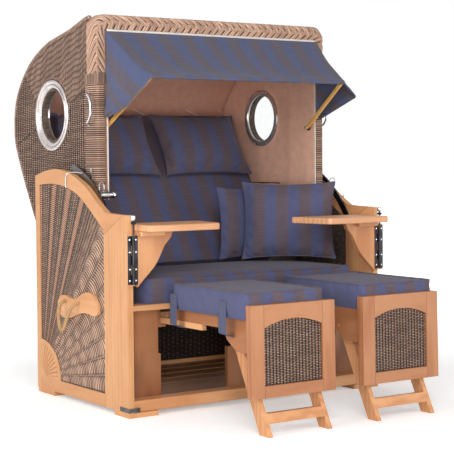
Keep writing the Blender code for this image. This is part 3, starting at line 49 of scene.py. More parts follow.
# Sizes repeated from the chair's own drawing, in metres; the seat faces -Y
forward = 0.1305
base_half, panel_inner = 0.633, 0.6095
base_front, base_rear = -0.384 + forward, 0.416 + forward
window_low, window_rear, window_front = 0.072, base_rear - 0.038, base_front + 0.191
hood_front, hood_depth, hood_half = -0.066 + forward, 0.800, 0.573
border_half, opening_half = 0.588, 0.539
opening_top, hood_top = 1.533, 1.603
post_low, post_top = 0.842, 1.365
braid_depth, post_depth = 0.092, 0.112
pivot = (0.240 + forward, 0.470)
porthole = (0.354 + forward, 1.204)
rest_in, rest_out, rest_low, rest_high, rest_front = 0.127, 0.396, 0.182, 0.393, -0.964 + forward
bow_y, bow_z = -0.030 + forward, 1.150
bar_y, bar_z, bar_half, foot_half = bow_y - 0.300, bow_z + 0.190, 0.482, 0.520
seat_low, seat_middle = 0.4373, (-0.347 + 0.145) / 2
lean = math.radians(30.8)


# Numbers for curves and grids
def run_along(points):
    """Length along a line up to each of its points."""
    return np.concatenate([[0.0], np.cumsum(np.linalg.norm(np.diff(points, axis=0), axis=1))])


def through(points, steps):
    """A smooth line through points: on each stretch the cubic whose slopes are half the neighbours' gap."""
    points = np.asarray(points, float)
    padded = np.vstack([points[:1], points, points[-1:]])
    t = np.arange(steps)[:, None] / steps
    line = [(2 * b + (c - a) * t + (2 * a - 5 * b + 4 * c - d) * t ** 2 + (3 * b - a - 3 * c + d) * t ** 3) / 2
            for a, b, c, d in zip(padded, padded[1:], padded[2:], padded[3:])]
    return np.vstack(line + [points[-1:]])


def even(points, count):
    """Points set at equal steps of length along a line."""
    points = np.asarray(points, float)
    run = run_along(points)
    where = np.linspace(0.0, run[-1], count)
    return np.stack([np.interp(where, run, column) for column in points.T], axis=1)


def slope_in(value, start, width):
    """0 up to start, 1 from start plus width on, and a straight line between them."""
    return np.clip((value - start) / width, 0, 1)


def bell(value, middle, width):
    return np.exp(-((value - middle) / width) ** 2)


def round_top(number):
    """Half a circle over every whole number: 0 at its ends and 1 in its middle."""
    return np.sqrt(np.clip(1 - (2 * (number % 1.0) - 1) ** 2, 0, 1))


def per_strand(number, seed):
    """A number between 0 and 1 that stays the same along one strand."""
    return (np.sin(number * 12.9898 + seed * 78.233) * 43758.5453) % 1.0


def from_porthole(y, z):
    return np.hypot(y - porthole[0], z - porthole[1])


def cell_middles(u, v):
    return (u[:-1, :-1] + u[1:, 1:]) / 2, (v[:-1, :-1] + v[1:, 1:]) / 2


def grid_faces(rows, cols, wrap_rows=False, wrap_cols=False):
    """Quads of a grid of rows by cols points, numbered row by row."""
    i = np.arange(rows if wrap_rows else rows - 1)[:, None]
    j = np.arange(cols if wrap_cols else cols - 1)[None, :]
    here, below, beside = i * cols, (i + 1) % rows * cols, (j + 1) % cols
    return np.stack(np.broadcast_arrays(here + j, below + j, below + beside, here + beside), -1).reshape(-1, 4)


def grid_rim(rows, cols):
    """Numbers of a grid's outer points, once round."""
    index = np.arange(rows * cols).reshape(rows, cols)
    return np.concatenate([index[:, 0], index[-1, 1:], index[-2::-1, -1], index[0, -2:0:-1]])


def capped(rings, start, end):
    """Points and faces of a row of rings, closed at both ends by a fan round one point."""
    rows, sides = rings.shape[:2]
    k, last = np.arange(sides), (rows - 1) * sides
    after = (k + 1) % sides
    return np.vstack([rings.reshape(-1, 3), start, end]), np.vstack([
        grid_faces(rows, sides, wrap_cols=True),
        np.stack([np.full(sides, rows * sides), k, after, after], 1),
        np.stack([np.full(sides, rows * sides + 1), last + after, last + k, last + k], 1)])


def inside(outline, y, z):
    """True where a point lies in a closed outline, by counting the edges that a level ray crosses."""
    hit = np.zeros(np.shape(y), bool)
    for (y0, z0), (y1, z1) in zip(outline, np.roll(outline, -1, axis=0)):
        if z0 != z1:
            hit ^= ((z0 > z) != (z1 > z)) & (y < (y1 - y0) * (z - z0) / (z1 - z0) + y0)
    return hit


def rim_distance(outline, y, z):
    """Distance from each point to the nearest edge of a closed outline."""
    outline = np.asarray(outline, float)
    best = np.full(np.shape(y), 9.0)
    for a, b in zip(outline, np.roll(outline, -1, axis=0)):
        run = b - a
        size = max(float(run @ run), 1e-12)
        t = np.clip(((y - a[0]) * run[0] + (z - a[1]) * run[1]) / size, 0.0, 1.0)
        best = np.minimum(best, np.hypot(y - a[0] - t * run[0], z - a[1] - t * run[1]))
    return best


def volume_sign(points, faces):
    """Above 0 where the faces of a closed shell point outwards: the sum of its signed corner volumes."""
    corners = np.vstack([faces[:, [0, 1, 2]], faces[:, [0, 2, 3]]]).T
    a, b, c = points[corners] - points.mean(axis=0)
    return float(np.einsum("ij,ij->i", a, np.cross(b, c)).sum())


def make(name, points, faces, mat, body=None, uv=None, marks=None, slot=None):
    """One mesh piece from arrays, facing outwards; every mark becomes a number kept on its points."""
    if volume_sign(points, faces) < 0:
        faces = faces[:, ::-1]
    mesh = bpy.data.meshes.new(name)
    mesh.from_pydata(points.tolist(), [], faces.tolist())
    if uv is not None:
        layer = mesh.uv_layers.new(name="cloth")
        loops = np.empty(len(mesh.loops), int)
        mesh.loops.foreach_get("vertex_index", loops)
        layer.data.foreach_set("uv", uv[loops].ravel())
    for key, values in (marks or {}).items():
        mesh.attributes.new(key, "FLOAT", "POINT").data.foreach_set("value", values)
    mesh.shade_smooth()
    mesh.materials.append(mat)
    obj = bpy.data.objects.new(name, mesh)
    bpy.context.scene.collection.objects.link(obj)
    if body:
        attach(obj, body)
    return obj


def wicker(name, body, points, faces, across, along, fit=None, depth_shade=1.0, tint=0.5, red=0.0, group=1.0, plain=0.0):
    """A piece of woven strands, whose map is across and along. Each value is one number for all points, one for
    each point, one for each place of the grid that fit picks from, or one for each but the two end points."""
    count = len(points)

    def spread(values):
        values = np.asarray(values, float).ravel()
        if values.size in (1, count):
            return np.broadcast_to(values, count).copy()
        return np.append(values, [0.5, 0.5]) if fit is None else values[fit]

    # depth_shade is painted shade: 0 darkens a gap or hollow between strands, 1 keeps the strand's full tone
    marks = {"depth_shade": depth_shade, "tint": tint, "red": red, "group": group, "plain": plain}
    return make(name, points, faces, strands, body, uv=np.stack([spread(across), spread(along)], 1),
                marks={key: spread(values) for key, values in marks.items()})


def slab(u, v, place, top, under, keep):
    """A slab over a grid of lines: its upper skin stands at height top over the surface that place gives, its
    lower skin at height under, and walls close it round every rim of the kept cells. Also gives the grid place
    of every point, and whether it is on the upper skin."""
    wide, high = np.meshgrid(u, v, indexing="ij")
    top, under = np.broadcast_to(top, wide.shape), np.broadcast_to(under, wide.shape)
    points = np.vstack([place(wide, high, top).reshape(-1, 3), place(wide, high, under).reshape(-1, 3)])
    index, low = np.arange(wide.size).reshape(wide.shape), wide.size
    a, b, c, d = index[:-1, :-1][keep], index[1:, :-1][keep], index[1:, 1:][keep], index[:-1, 1:][keep]
    faces = [np.stack([a, b, c, d], 1), np.stack([low + a, low + d, low + c, low + b], 1)]
    pad = np.pad(keep, 1)
    for here, before, first, second, turn in (
            (pad[1:, 1:-1], pad[:-1, 1:-1], index[:, :-1], index[:, 1:], 1),
            (pad[1:-1, 1:], pad[1:-1, :-1], index[:-1], index[1:], -1)):
        for edge, way in ((here & ~before, turn), (~here & before, -turn)):
            a, b = first[edge], second[edge]
            faces.append(np.stack([a, b, low + b, low + a], 1)[:, ::way])
    used, fresh = np.unique(np.vstack(faces), return_inverse=True)
    return points[used], fresh.reshape(-1, 4), used % low, used < low


def tube(path, radius, sides, swell=None):
    """A round tube: each ring is the radius, times an optional factor for place and angle, round the path. The
    two directions across the path are carried on without twist from point to point."""
    path = np.asarray(path, float)
    ahead = np.gradient(path, axis=0)
    ahead /= np.linalg.norm(ahead, axis=1)[:, None]
    across = np.empty_like(path)
    current = np.array([0.0, 0.0, 1.0]) if abs(ahead[0][2]) < 0.9 else np.array([1.0, 0.0, 0.0])
    for k, way in enumerate(ahead):
        current = current - way * (current @ way)
        current /= np.linalg.norm(current)
        across[k] = current
    other = np.cross(ahead, across)
    angle = np.linspace(0.0, 2 * np.pi, sides, endpoint=False)
    size = np.broadcast_to(np.asarray(radius, float).reshape(-1, 1), (len(path), 1)) * np.ones((1, sides))
    if swell is not None:
        size = size * swell(run_along(path)[:, None], angle[None, :])
    rings = (path[:, None, :] + across[:, None, :] * (size * np.cos(angle))[..., None]
             + other[:, None, :] * (size * np.sin(angle))[..., None])
    return capped(rings, path[0], path[-1])


def rod(name, path, radius, sides, mat, body, uv=None):
    """A tube piece; uv numbers the two directions of space that its cloth map lies along."""
    points, faces = tube(path, radius, sides)
    return make(name, points, faces, mat, body, uv=None if uv is None else points[:, uv])


def dress(mat, *names):
    """Carried-over solids of one material."""
    for name in names:
        nodes[name].data.materials.clear()
        nodes[name].data.materials.append(mat)


# Shader building
class Nodes:
    """Short ways of adding and joining the nodes of one material or group."""

    def __init__(self, tree):
        self.tree = tree

    def add(self, kind, values=None, **settings):
        node = self.tree.nodes.new("ShaderNode" + kind)
        for key, value in settings.items():
            setattr(node, key, value)
        for key, value in (values or {}).items():
            if isinstance(value, bpy.types.NodeSocket):
                self.tree.links.new(value, node.inputs[key])
            else:
                node.inputs[key].default_value = value
        return node

    def send(self, goals, values):
        """Each value joined to the socket of its name."""
        for key, value in values.items():
            self.tree.links.new(value, goals[key])

    def effect(self, tree, values):
        return self.add("Group", values, node_tree=tree).outputs

    def maths(self, operation, a, b=0.0, clamp=False):
        return self.add("Math", {0: a, 1: b}, operation=operation, use_clamp=clamp).outputs[0]

    def times(self, a, b, clamp=False):
        return self.maths("MULTIPLY", a, b, clamp)

    def plus(self, a, b, clamp=False):
        return self.maths("ADD", a, b, clamp)

    def less(self, a, b):
        return self.maths("SUBTRACT", a, b)

    def mix(self, amount, a, b, blend="MIX"):
        return self.add("Mix", {0: amount, 6: a, 7: b}, data_type="RGBA", blend_type=blend).outputs[2]

    def noise(self, vector, scale, detail=3.0, rough=0.5, warp=0.0):
        return self.add("TexNoise", {"Vector": vector, "Scale": scale, "Detail": detail, "Roughness": rough,
                                     "Distortion": warp}).outputs["Fac"]

    def ramp(self, value, low, high):
        """Value turned into 0 at low and 1 at high, held between them."""
        return self.add("MapRange", {"Value": value, "From Min": low, "From Max": high}).outputs[0]

    def tinge(self, tone, value, low, high, amount, goal):
        """A tone drawn towards a goal by an amount, as far as the value has risen from low to high."""
        return self.mix(self.times(self.ramp(value, low, high), amount), tone, goal)

    def mapped(self, vector, scale=(1, 1, 1), turn=(0, 0, 0), move=(0, 0, 0)):
        return self.add("Mapping", {"Vector": vector, "Scale": scale, "Rotation": turn, "Location": move}).outputs[0]

    def apart(self, vector):
        return self.add("SeparateXYZ", {"Vector": vector}).outputs

    def place(self):
        return self.add("TexCoord").outputs["Object"]

    def cloth(self):
        return self.add("UVMap", uv_map="cloth").outputs[0]

    def mark(self, key):
        return self.add("Attribute", attribute_name=key).outputs["Fac"]


def colour(red, green, blue):
    """A screen colour in 0 to 255 as the linear colour that a shader takes."""
    return (*[(c / 255 / 12.92) if c <= 10 else ((c / 255 + 0.055) / 1.055) ** 2.4 for c in (red, green, blue)], 1.0)


def effect(name, inputs, outputs=(("Color", "Color"), ("Roughness", "Float"), ("Height", "Float"))):
    """An empty node group with named sockets, and its input and output nodes."""
    tree = bpy.data.node_groups.new(name, "ShaderNodeTree")
    for label, kind, value in inputs:
        socket = tree.interface.new_socket(label, in_out="INPUT", socket_type="NodeSocket" + kind)
        if value is not None:
            socket.default_value = value
    for label, kind in outputs:
        tree.interface.new_socket(label, in_out="OUTPUT", socket_type="NodeSocket" + kind)
    return Nodes(tree), tree.nodes.new("NodeGroupInput").outputs, tree.nodes.new("NodeGroupOutput").inputs


def finish(name, roughness=0.5, metallic=0.0, sheen=0.0, specular=0.5):
    """A material with its own shader, whose plain numbers are set on the shader."""
    mat = bpy.data.materials.new(name)
    mat.use_nodes = True
    shader = mat.node_tree.nodes["Principled BSDF"]
    for key, value in (("Roughness", roughness), ("Metallic", metallic), ("Sheen Weight", sheen),
                       ("Specular IOR Level", specular)):
        shader.inputs[key].default_value = value
    return mat, Nodes(mat.node_tree), shader


def wear_on(kit, shader, base, rough, height, strength, distance):
    """Colour, roughness and a bump from height, joined to the shader."""
    bump = kit.add("Bump", {"Strength": strength, "Distance": distance, "Height": height})
    kit.send(shader.inputs, {"Base Color": base, "Normal": bump.outputs[0]})
    if rough is not None:
        kit.send(shader.inputs, {"Roughness": rough})


# Timber: long soft bands, darker growth lines bent by slow noise, fine pores and a few small knots
kit, given, put = effect("timber_grain", [("Along", "Vector", None), ("Light", "Color", colour(224, 168, 118)),
                                          ("Dark", "Color", colour(182, 110, 64)), ("Figure", "Float", 1.0)])
slow = kit.noise(kit.mapped(given["Along"], scale=(0.9, 7.0, 7.0)), 2.2, 2.0, 0.5, 0.6)
bands = kit.add("TexWave", {"Vector": kit.mapped(given["Along"], scale=(0.55, 4.2, 3.1)), "Scale": 3.2,
                            "Distortion": 7.0, "Detail": 2.5, "Detail Scale": 0.8},
                wave_type="BANDS", bands_direction="Y").outputs["Fac"]
lines = kit.ramp(bands, 0.25, 0.95)
pores = kit.noise(kit.mapped(given["Along"], scale=(14.0, 260.0, 260.0)), 1.4, 3.0, 0.6)
fleck = kit.ramp(pores, 0.56, 0.72)
broad = kit.noise(given["Along"], 2.6, 2.0)
knots = kit.add("TexVoronoi", {"Vector": kit.mapped(given["Along"], scale=(1.9, 5.2, 5.2)), "Scale": 1.0,
                               "Randomness": 1.0}).outputs["Distance"]
tone = kit.mix(kit.times(kit.times(lines, given["Figure"]), 0.50, True), given["Light"], given["Dark"])
tone = kit.tinge(tone, slow, 0.42, 0.70, 0.35, given["Dark"])
tone = kit.mix(kit.times(fleck, 0.30), tone, colour(166, 106, 66))
tone = kit.tinge(tone, broad, 0.35, 0.75, 0.40, colour(236, 186, 138))
tone = kit.mix(kit.times(kit.less(1.0, kit.ramp(knots, 0.012, 0.05)), 0.75), tone, colour(122, 70, 38))
kit.send(put, {"Color": tone, "Roughness": kit.plus(0.42, kit.times(fleck, 0.25)),
               "Height": kit.less(kit.times(lines, 0.3), kit.times(fleck, 0.6))})
timber_grain = kit.tree

# Strand shade: painted shade darkens the gaps, where Depth is low, and the crowns keep the strand's tone, each strand
# a little different
kit, given, put = effect("strand_shade", [("Depth", "Float", 1.0), ("Tint", "Float", 0.5), ("Red", "Float", 0.0),
                                          ("Vector", "Vector", None)])
fine = kit.noise(given["Vector"], 420.0, 2.0)
tone = kit.mix(given["Tint"], colour(118, 86, 72), colour(224, 180, 152))
tone = kit.mix(given["Red"], tone, colour(212, 150, 116))
tone = kit.tinge(tone, fine, 0.4, 0.7, 0.35, colour(132, 110, 96))
tone = kit.tinge(tone, kit.noise(given["Vector"], 9.0, 3.0), 0.45, 0.75, 0.25, colour(196, 172, 150))
kit.send(put, {"Color": kit.mix(kit.ramp(given["Depth"], 0.26, 0.80), colour(26, 16, 12), tone),
               "Roughness": kit.less(0.68, kit.times(given["Depth"], 0.18)), "Height": fine})
strand_shade = kit.tree

# Woven lines: one strand for every whole number of the second number of the map. It rises and falls as the
# cosine of the first number, turned over from group to group of strands; single strands stand in upright
# ladders with a line of painted shade between two stakes, and groups of three make long leaves. The level
# falls to 0 at the edges of each group, where strand_shade paints shade
kit, given, put = effect("woven_lines", [("Map", "Vector", None), ("Group", "Float", 1.0), ("Plain", "Float", 0.0)],
                         [("Level", "Float"), ("Strand", "Float")])
across, along = kit.apart(given["Map"])[:2]
off = kit.less(kit.times(kit.maths("FRACT", along), 2.0), 1.0)
crown = kit.maths("SQRT", kit.maths("MAXIMUM", kit.less(1.0, kit.times(off, off)), 0.0))
bunch = kit.maths("DIVIDE", along, given["Group"])
wave = kit.maths("COSINE", kit.times(kit.plus(across, kit.maths("FLOOR", bunch)), math.pi))
column = kit.less(1.0, kit.times(kit.ramp(kit.maths("PINGPONG", across, 0.5), 0.24, 0.40), 0.94))
ladder = kit.times(kit.times(kit.plus(kit.times(wave, 0.14), 0.86), crown), column)
leaf = kit.times(kit.plus(wave, 1.38, True), crown)
grouped = kit.times(kit.less(given["Group"], 1.0), 0.5, True)
basket_level = kit.add("Mix", {0: grouped, 2: ladder, 3: leaf}, data_type="FLOAT").outputs[0]
gap_share = kit.maths("FRACT", bunch)
gap_near = kit.maths("MINIMUM", gap_share, kit.less(1.0, gap_share))
gap = kit.times(kit.times(gap_near, given["Group"]), 3.0, True)
level = kit.add("Mix", {0: given["Plain"], 2: basket_level, 3: crown}, data_type="FLOAT").outputs[0]
piece_number = kit.times(kit.maths("FLOOR", kit.times(across, 0.25)), 17.0)
kit.send(put, {"Level": kit.times(level, gap),
               "Strand": kit.add("TexWhiteNoise", {"W": kit.plus(kit.maths("FLOOR", along), piece_number)},
                                 noise_dimensions="1D").outputs["Value"]})
woven_lines = kit.tree

# Cloth: thread over thread, a soft mottling and faint darker patches of slow noise painted as the shade of folds, in
# metres of cloth
kit, given, put = effect("thread_cloth", [("Cloth", "Vector", None), ("Base", "Color", colour(95, 100, 135)),
                                          ("Count", "Float", 900.0)])
warp, weft = (kit.maths("SINE", kit.times(part, given["Count"])) for part in kit.apart(given["Cloth"])[:2])
cross = kit.times(warp, weft)
slub = kit.noise(kit.mapped(given["Cloth"], scale=(12.0, 500.0, 1.0)), 1.0, 3.0)
tone = kit.tinge(given["Base"], slub, 0.35, 0.7, 0.22, colour(128, 128, 146))
tone = kit.tinge(tone, cross, -1.0, 1.0, 0.14, colour(40, 40, 55))
tone = kit.tinge(tone, kit.noise(given["Cloth"], 26.0, 4.0), 0.4, 0.8, 0.16, colour(60, 62, 84))
kit.send(put, {"Color": tone, "Roughness": kit.plus(0.80, kit.times(slub, 0.15)),
               "Height": kit.plus(cross, kit.times(slub, 1.5))})
thread_cloth = kit.tree

# Metal: long rubbing marks and soft smudges
kit, given, put = effect("rubbed_metal", [("Vector", "Vector", None), ("Clean", "Color", colour(205, 205, 208)),
                                          ("Dull", "Color", colour(150, 150, 152)), ("Low", "Float", 0.12),
                                          ("High", "Float", 0.32)])
smudge = kit.noise(given["Vector"], 22.0, 4.0)
rubbed = kit.noise(kit.mapped(given["Vector"], scale=(30.0, 400.0, 30.0)), 1.0, 2.0)
rough = kit.add("MapRange", {"Value": kit.plus(kit.times(smudge, 0.6), kit.times(rubbed, 0.4)), "From Min": 0.3,
                             "From Max": 0.7, "To Min": given["Low"], "To Max": given["High"]}).outputs[0]
kit.send(put, {"Color": kit.mix(kit.ramp(smudge, 0.4, 0.75), given["Clean"], given["Dull"]), "Roughness": rough,
               "Height": rubbed})
rubbed_metal = kit.tree

grain_turns = {"X": (0.0, 0.0, 0.0), "Y": (0.0, 0.0, math.pi / 2), "Z": (0.0, math.pi / 2, 0.0)}


def timber(name, axis, seed, figure=1.0, light=(224, 168, 118), dark=(182, 110, 64)):
    """Timber whose grain runs along X, Y or Z."""
    mat, kit, shader = finish(name, roughness=0.5, specular=0.35)
    way = kit.mapped(kit.place(), turn=grain_turns[axis], move=(seed, seed * 0.37, seed * 0.71))
    out = kit.effect(timber_grain, {"Along": way, "Light": colour(*light), "Dark": colour(*dark), "Figure": figure})
    wear_on(kit, shader, out["Color"], out["Roughness"], out["Height"], 0.25, 0.0006)
    return mat


def timber_joined(name, first, other, seed, rule, figure, shadow):
    """Timber of several joined members: the rule gives a mask where the grain takes its other way, the fine
    dark lines where two members meet, and a mask where the grain runs from front to rear."""
    mat, kit, shader = finish(name, roughness=0.5, specular=0.35)
    place = kit.place()
    mask, line, rear = rule(kit, kit.apart(place))
    one, two, level = (
        kit.mapped(place, turn=grain_turns[axis], move=(seed + shift, seed * share, seed * other_share))
        for axis, shift, share, other_share in ((first, 0.0, 0.37, 0.71), (other, 5.0, 0.53, 0.19),
                                                ("Y", 9.0, 0.31, 0.23)))
    way = kit.add("Mix", {0: mask, 4: one, 5: two}, data_type="VECTOR").outputs[1]
    way = kit.add("Mix", {0: rear, 4: way, 5: level}, data_type="VECTOR").outputs[1]
    out = kit.effect(timber_grain, {"Along": way, "Figure": figure})
    shade = kit.mix(kit.times(mask, 0.16), out["Color"], colour(206, 142, 92))
    # Painted shade in the grooves between the corner's petals
    shade = kit.mix(kit.times(kit.mark("carved_groove_shade"), 0.7), shade, colour(140, 84, 50))
    shade = kit.mix(kit.times(line, 0.85), shade, colour(96, 56, 34))
    # The shadow factor darkens the whole piece: painted shade, a darker copy of the same timber
    shade = kit.mix(1.0, shade, (*shadow, 1.0), "MULTIPLY")
    wear_on(kit, shader, shade, out["Roughness"], out["Height"], 0.25, 0.0006)
    return mat


def near_line(kit, value, edge, half=0.0011):
    away = kit.maths("ABSOLUTE", kit.less(value, edge))
    return kit.less(1.0, kit.ramp(away, half * 0.4, half))


def rest_rule(kit, place):
    """Foot-rest front: level rails between two uprights, with the joints on the uprights' inner edges."""
    wide = kit.maths("ABSOLUTE", place[0])
    front = kit.maths("LESS_THAN", place[1], rest_front + 0.045)
    rails = kit.maths("MAXIMUM", kit.maths("LESS_THAN", place[2], rest_low),
                      kit.maths("GREATER_THAN", place[2], rest_high))
    between = kit.times(kit.maths("GREATER_THAN", wide, rest_in), kit.maths("LESS_THAN", wide, rest_out))
    lines = kit.maths("MAXIMUM", near_line(kit, wide, rest_in), near_line(kit, wide, rest_out))
    return (kit.times(kit.times(rails, between), front), kit.times(kit.times(lines, rails), front),
            kit.less(1.0, front))


def side_rule(kit, place):
    """Side frame: uprights at front and rear, a level bottom rail, and the arch over them."""
    joint = 0.710 + 0.55 * window_front
    low = kit.maths("LESS_THAN", place[2], window_low + 0.0005)
    inner = kit.times(kit.maths("GREATER_THAN", place[1], window_front),
                      kit.maths("LESS_THAN", place[1], window_rear))
    slant = kit.plus(place[2], kit.times(place[1], 0.55))
    uprights = kit.maths("MAXIMUM", near_line(kit, place[1], window_front), near_line(kit, place[1], window_rear))
    line = kit.maths("MAXIMUM", near_line(kit, slant, joint, 0.0013), kit.times(uprights, low))
    return kit.maths("MAXIMUM", kit.times(low, inner), kit.maths("GREATER_THAN", slant, joint)), line, 0.0


def woven(name):
    """Strands drawn by their own map; depth_shade, tint and redness are kept on the points of the mesh, and
    depth_shade paints shade in the gaps and hollows.
    """
    mat, kit, shader = finish(name, roughness=0.6, specular=0.35)
    lines = kit.effect(woven_lines, {"Map": kit.cloth(), "Group": kit.mark("group"), "Plain": kit.mark("plain")})
    out = kit.effect(strand_shade, {
        "Depth": kit.times(lines["Level"], kit.mark("depth_shade")), "Red": kit.mark("red"), "Vector": kit.place(),
        "Tint": kit.plus(kit.times(kit.mark("tint"), 0.55), kit.times(lines["Strand"], 0.5))})
    height = kit.plus(lines["Level"], kit.times(out["Height"], 0.12))
    wear_on(kit, shader, out["Color"], out["Roughness"], height, 0.5, 0.0025)
    return mat


def plain_woven(name):
    """The woven board behind the strands, where only its gaps show; it is painted dark, as the shade seen through the
    gaps.
    """
    mat, kit, shader = finish(name, roughness=0.8)
    ribs = kit.noise(kit.mapped(kit.place(), scale=(60.0, 60.0, 220.0)), 1.0, 3.0)
    base = kit.mix(kit.ramp(ribs, 0.35, 0.7), colour(46, 36, 30), colour(112, 92, 78))
    wear_on(kit, shader, base, None, ribs, 0.4, 0.001)
    return mat


def threads(name, sheen, count, base):
    """Cloth of crossed threads; base gives its colour from the cloth map."""
    mat, kit, shader = finish(name, roughness=0.9, sheen=sheen, specular=0.2)
    cloth = kit.cloth()
    out = kit.effect(thread_cloth, {"Cloth": cloth, "Base": base(kit, cloth), "Count": count})
    wear_on(kit, shader, out["Color"], out["Roughness"], out["Height"], 0.25, 0.0005)
    return mat


def plain_cloth(name, tone, count=2200.0, sheen=0.1):
    return threads(name, sheen, count, lambda kit, cloth: colour(*tone))


def striped(name, period, offset, blue, brown):
    """Striped cloth: two colours in turn across the first direction of its own cloth map."""
    def stripes(kit, cloth):
        place = kit.plus(kit.maths("DIVIDE", kit.apart(cloth)[0], period), offset + 100.0)
        edge = kit.maths("PINGPONG", kit.maths("FRACT", place), 0.5)
        return kit.mix(kit.ramp(edge, 0.244, 0.256), colour(*blue), colour(*brown))

    return threads(name, 0.10, 2600.0, stripes)


def metal(name, clean, dull, low, high, metallic=1.0):
    """Rubbed metal between two colours and two roughnesses, with painted shade where its points are marked as
    grooves.
    """
    mat, kit, shader = finish(name, roughness=0.25, metallic=metallic)
    out = kit.effect(rubbed_metal, {"Vector": kit.place(), "Clean": colour(*clean), "Dull": colour(*dull),
                                    "Low": low, "High": high})
    shade = kit.mix(kit.mark("groove_shade"), out["Color"], colour(46, 40, 38))
    wear_on(kit, shader, shade, out["Roughness"], out["Height"], 0.08, 0.0002)
    return mat


timber_x = timber("timber_across", "X", 0.3)
timber_y = timber("timber_lengthways", "Y", 1.1)
timber_z = timber("timber_upright", "Z", 2.3, 0.9, (210, 150, 102), (168, 98, 56))
timber_top = timber("timber_table_top", "X", 5.2, 1.0, (226, 172, 130), (190, 124, 80))
# The decks are painted dark, as the shade under the seat inside the base
timber_painted_shade_deck = timber("timber_deck_painted_shade", "X", 8.4, 1.3, (150, 98, 64), (92, 52, 32))
# The front boards keep their strong grain and are painted dark, as the shade in the recess behind the front posts
timber_painted_shade_board = timber("timber_figured_board_painted_shade", "Z", 4.6, 2.0, (148, 90, 54), (98, 52, 30))
timber_gold = timber("timber_golden_strut", "Y", 3.2, 0.6, (240, 186, 96), (216, 152, 66))
# The foot-rest frame's shadow factor paints it much darker than the side frame, and the side frame a little darker:
# painted shade on the same timber
timber_rest = timber_joined("timber_foot_rest", "Z", "X", 6.1, rest_rule, 1.0, (0.60, 0.50, 0.485))
timber_side = timber_joined("timber_side_frame", "Z", "Y", 7.7, side_rule, 0.40, (0.93, 0.90, 0.87))
strands = woven("woven_strands")
backing_painted_shade = plain_woven("woven_backing_painted_shade")
turned_steel = metal("stainless_turned", (212, 203, 201), (180, 171, 169), 0.10, 0.24, 0.72)
# Painted shade on the lock rail and painted dark reflections on the corner straps: the same stainless steel made dark
steel_painted_shade_reflection = metal("stainless_painted_shade_and_reflection", (118, 112, 110), (70, 66, 66), 0.16, 0.34)
bright_steel = metal("stainless_polished", (214, 214, 216), (176, 176, 178), 0.06, 0.20)
satin_steel = metal("stainless_satin", (190, 188, 186), (140, 138, 136), 0.22, 0.42)
black_steel = metal("black_hinge_steel", (58, 58, 62), (36, 36, 40), 0.30, 0.50)
cushion_cloth = striped("striped_cushion_cloth", 0.100, 0.0, (79, 82, 117), (93, 78, 84))
awning_material = striped("striped_awning_cloth", 0.116, 0.13, (80, 87, 120), (92, 84, 94))
lining_material = plain_cloth("lining_tan_cloth", (224, 166, 138))
# The side lining is the long lining's cloth painted lighter: painted light on the side walls
lining_side_painted_light = plain_cloth("lining_side_cloth_painted_light", (248, 194, 164))
piping_material = plain_cloth("white_piping_cloth", (232, 224, 214), sheen=0.3)
strap_cloth = plain_cloth("blue_strap_cloth", (74, 80, 106), 1500.0)

clear_glass, kit, shader = finish("clear_pane_glass", roughness=0.02)
shader.inputs["Transmission Weight"].default_value = 1.0
shader.inputs["IOR"].default_value = 1.02
dust = kit.ramp(kit.noise(kit.place(), 40.0, 4.0), 0.45, 0.8)
kit.send(shader.inputs, {"Base Color": kit.mix(dust, colour(252, 253, 253), colour(247, 249, 248))})

rope_fibre, kit, shader = finish("natural_rope_fibre", roughness=0.85, specular=0.2)
yarn = kit.maths("PINGPONG", kit.apart(kit.cloth())[0], 0.5)
fuzz = kit.noise(kit.place(), 300.0, 3.0)
# Painted shade in the grooves between the twisted strands
tone = kit.mix(kit.ramp(kit.mark("groove_shade"), 0.05, 0.75), colour(140, 100, 64), colour(238, 204, 156))
tone = kit.mix(kit.times(kit.ramp(yarn, 0.0, 0.35), 0.4), colour(160, 120, 80), tone)
tone = kit.tinge(tone, fuzz, 0.45, 0.7, 0.3, colour(238, 208, 166))
wear_on(kit, shader, tone, None, kit.plus(yarn, kit.times(fuzz, 0.5)), 0.5, 0.0008)


def basket(across, along, stake, row, height):
    """Weavers over and under upright stakes: a strand of round section whose middle rises and falls as the
    cosine of its place between two stakes, one row against the next; stakes show where it dips."""
    wave = np.cos(np.pi * (across / stake + np.floor(along / row)))
    near_stake = np.abs(across / stake - np.round(across / stake))
    rib = 0.42 * bell(near_stake, 0, 0.16) * (1 - np.clip(wave, 0, 1))
    return height * np.maximum((0.50 + 0.50 * wave) * round_top(along / row), rib)


# The hood's outline in the (y, z) plane
profile_shares = [(0.108, 0.9945), (0.151, 0.990), (0.3225, 0.957), (0.4575, 0.938), (0.60, 0.916),
                  (0.766, 0.865), (0.8875, 0.798), (0.97, 0.720), (1.0, 0.640), (0.995, 0.5595), (0.946, 0.479),
                  (0.795, 0.295), (0.595, 0.088)]
roof = through([(hood_front + hood_depth * a, pivot[1] + 1.135 * b) for a, b in profile_shares], 12)
roof[:, 0] = np.minimum(roof[:, 0], hood_front + hood_depth)
hub = [(pivot[0] + 0.060 * math.cos(a), pivot[1] + 0.060 * math.sin(a))
       for a in np.radians(-59.5 - 82.5 * np.arange(9) / 8)]
side_outline = np.vstack([[(hood_front + braid_depth, roof[0][1])], roof[1:], hub,
                          [(hood_front + 0.010, post_low), (hood_front + post_depth, post_low),
                           (hood_front + post_depth, post_top), (hood_front + braid_depth, post_top)]])


def outward_normals(line, sign):
    """Unit normals of a line in the (y, z) plane, turned so that the first has the sign in y."""
    slope = np.gradient(line, axis=0)
    slope /= np.linalg.norm(slope, axis=1)[:, None]
    normal = np.stack([-slope[:, 1], slope[:, 0]], axis=1)
    return normal if normal[0][1] * sign > 0 else -normal


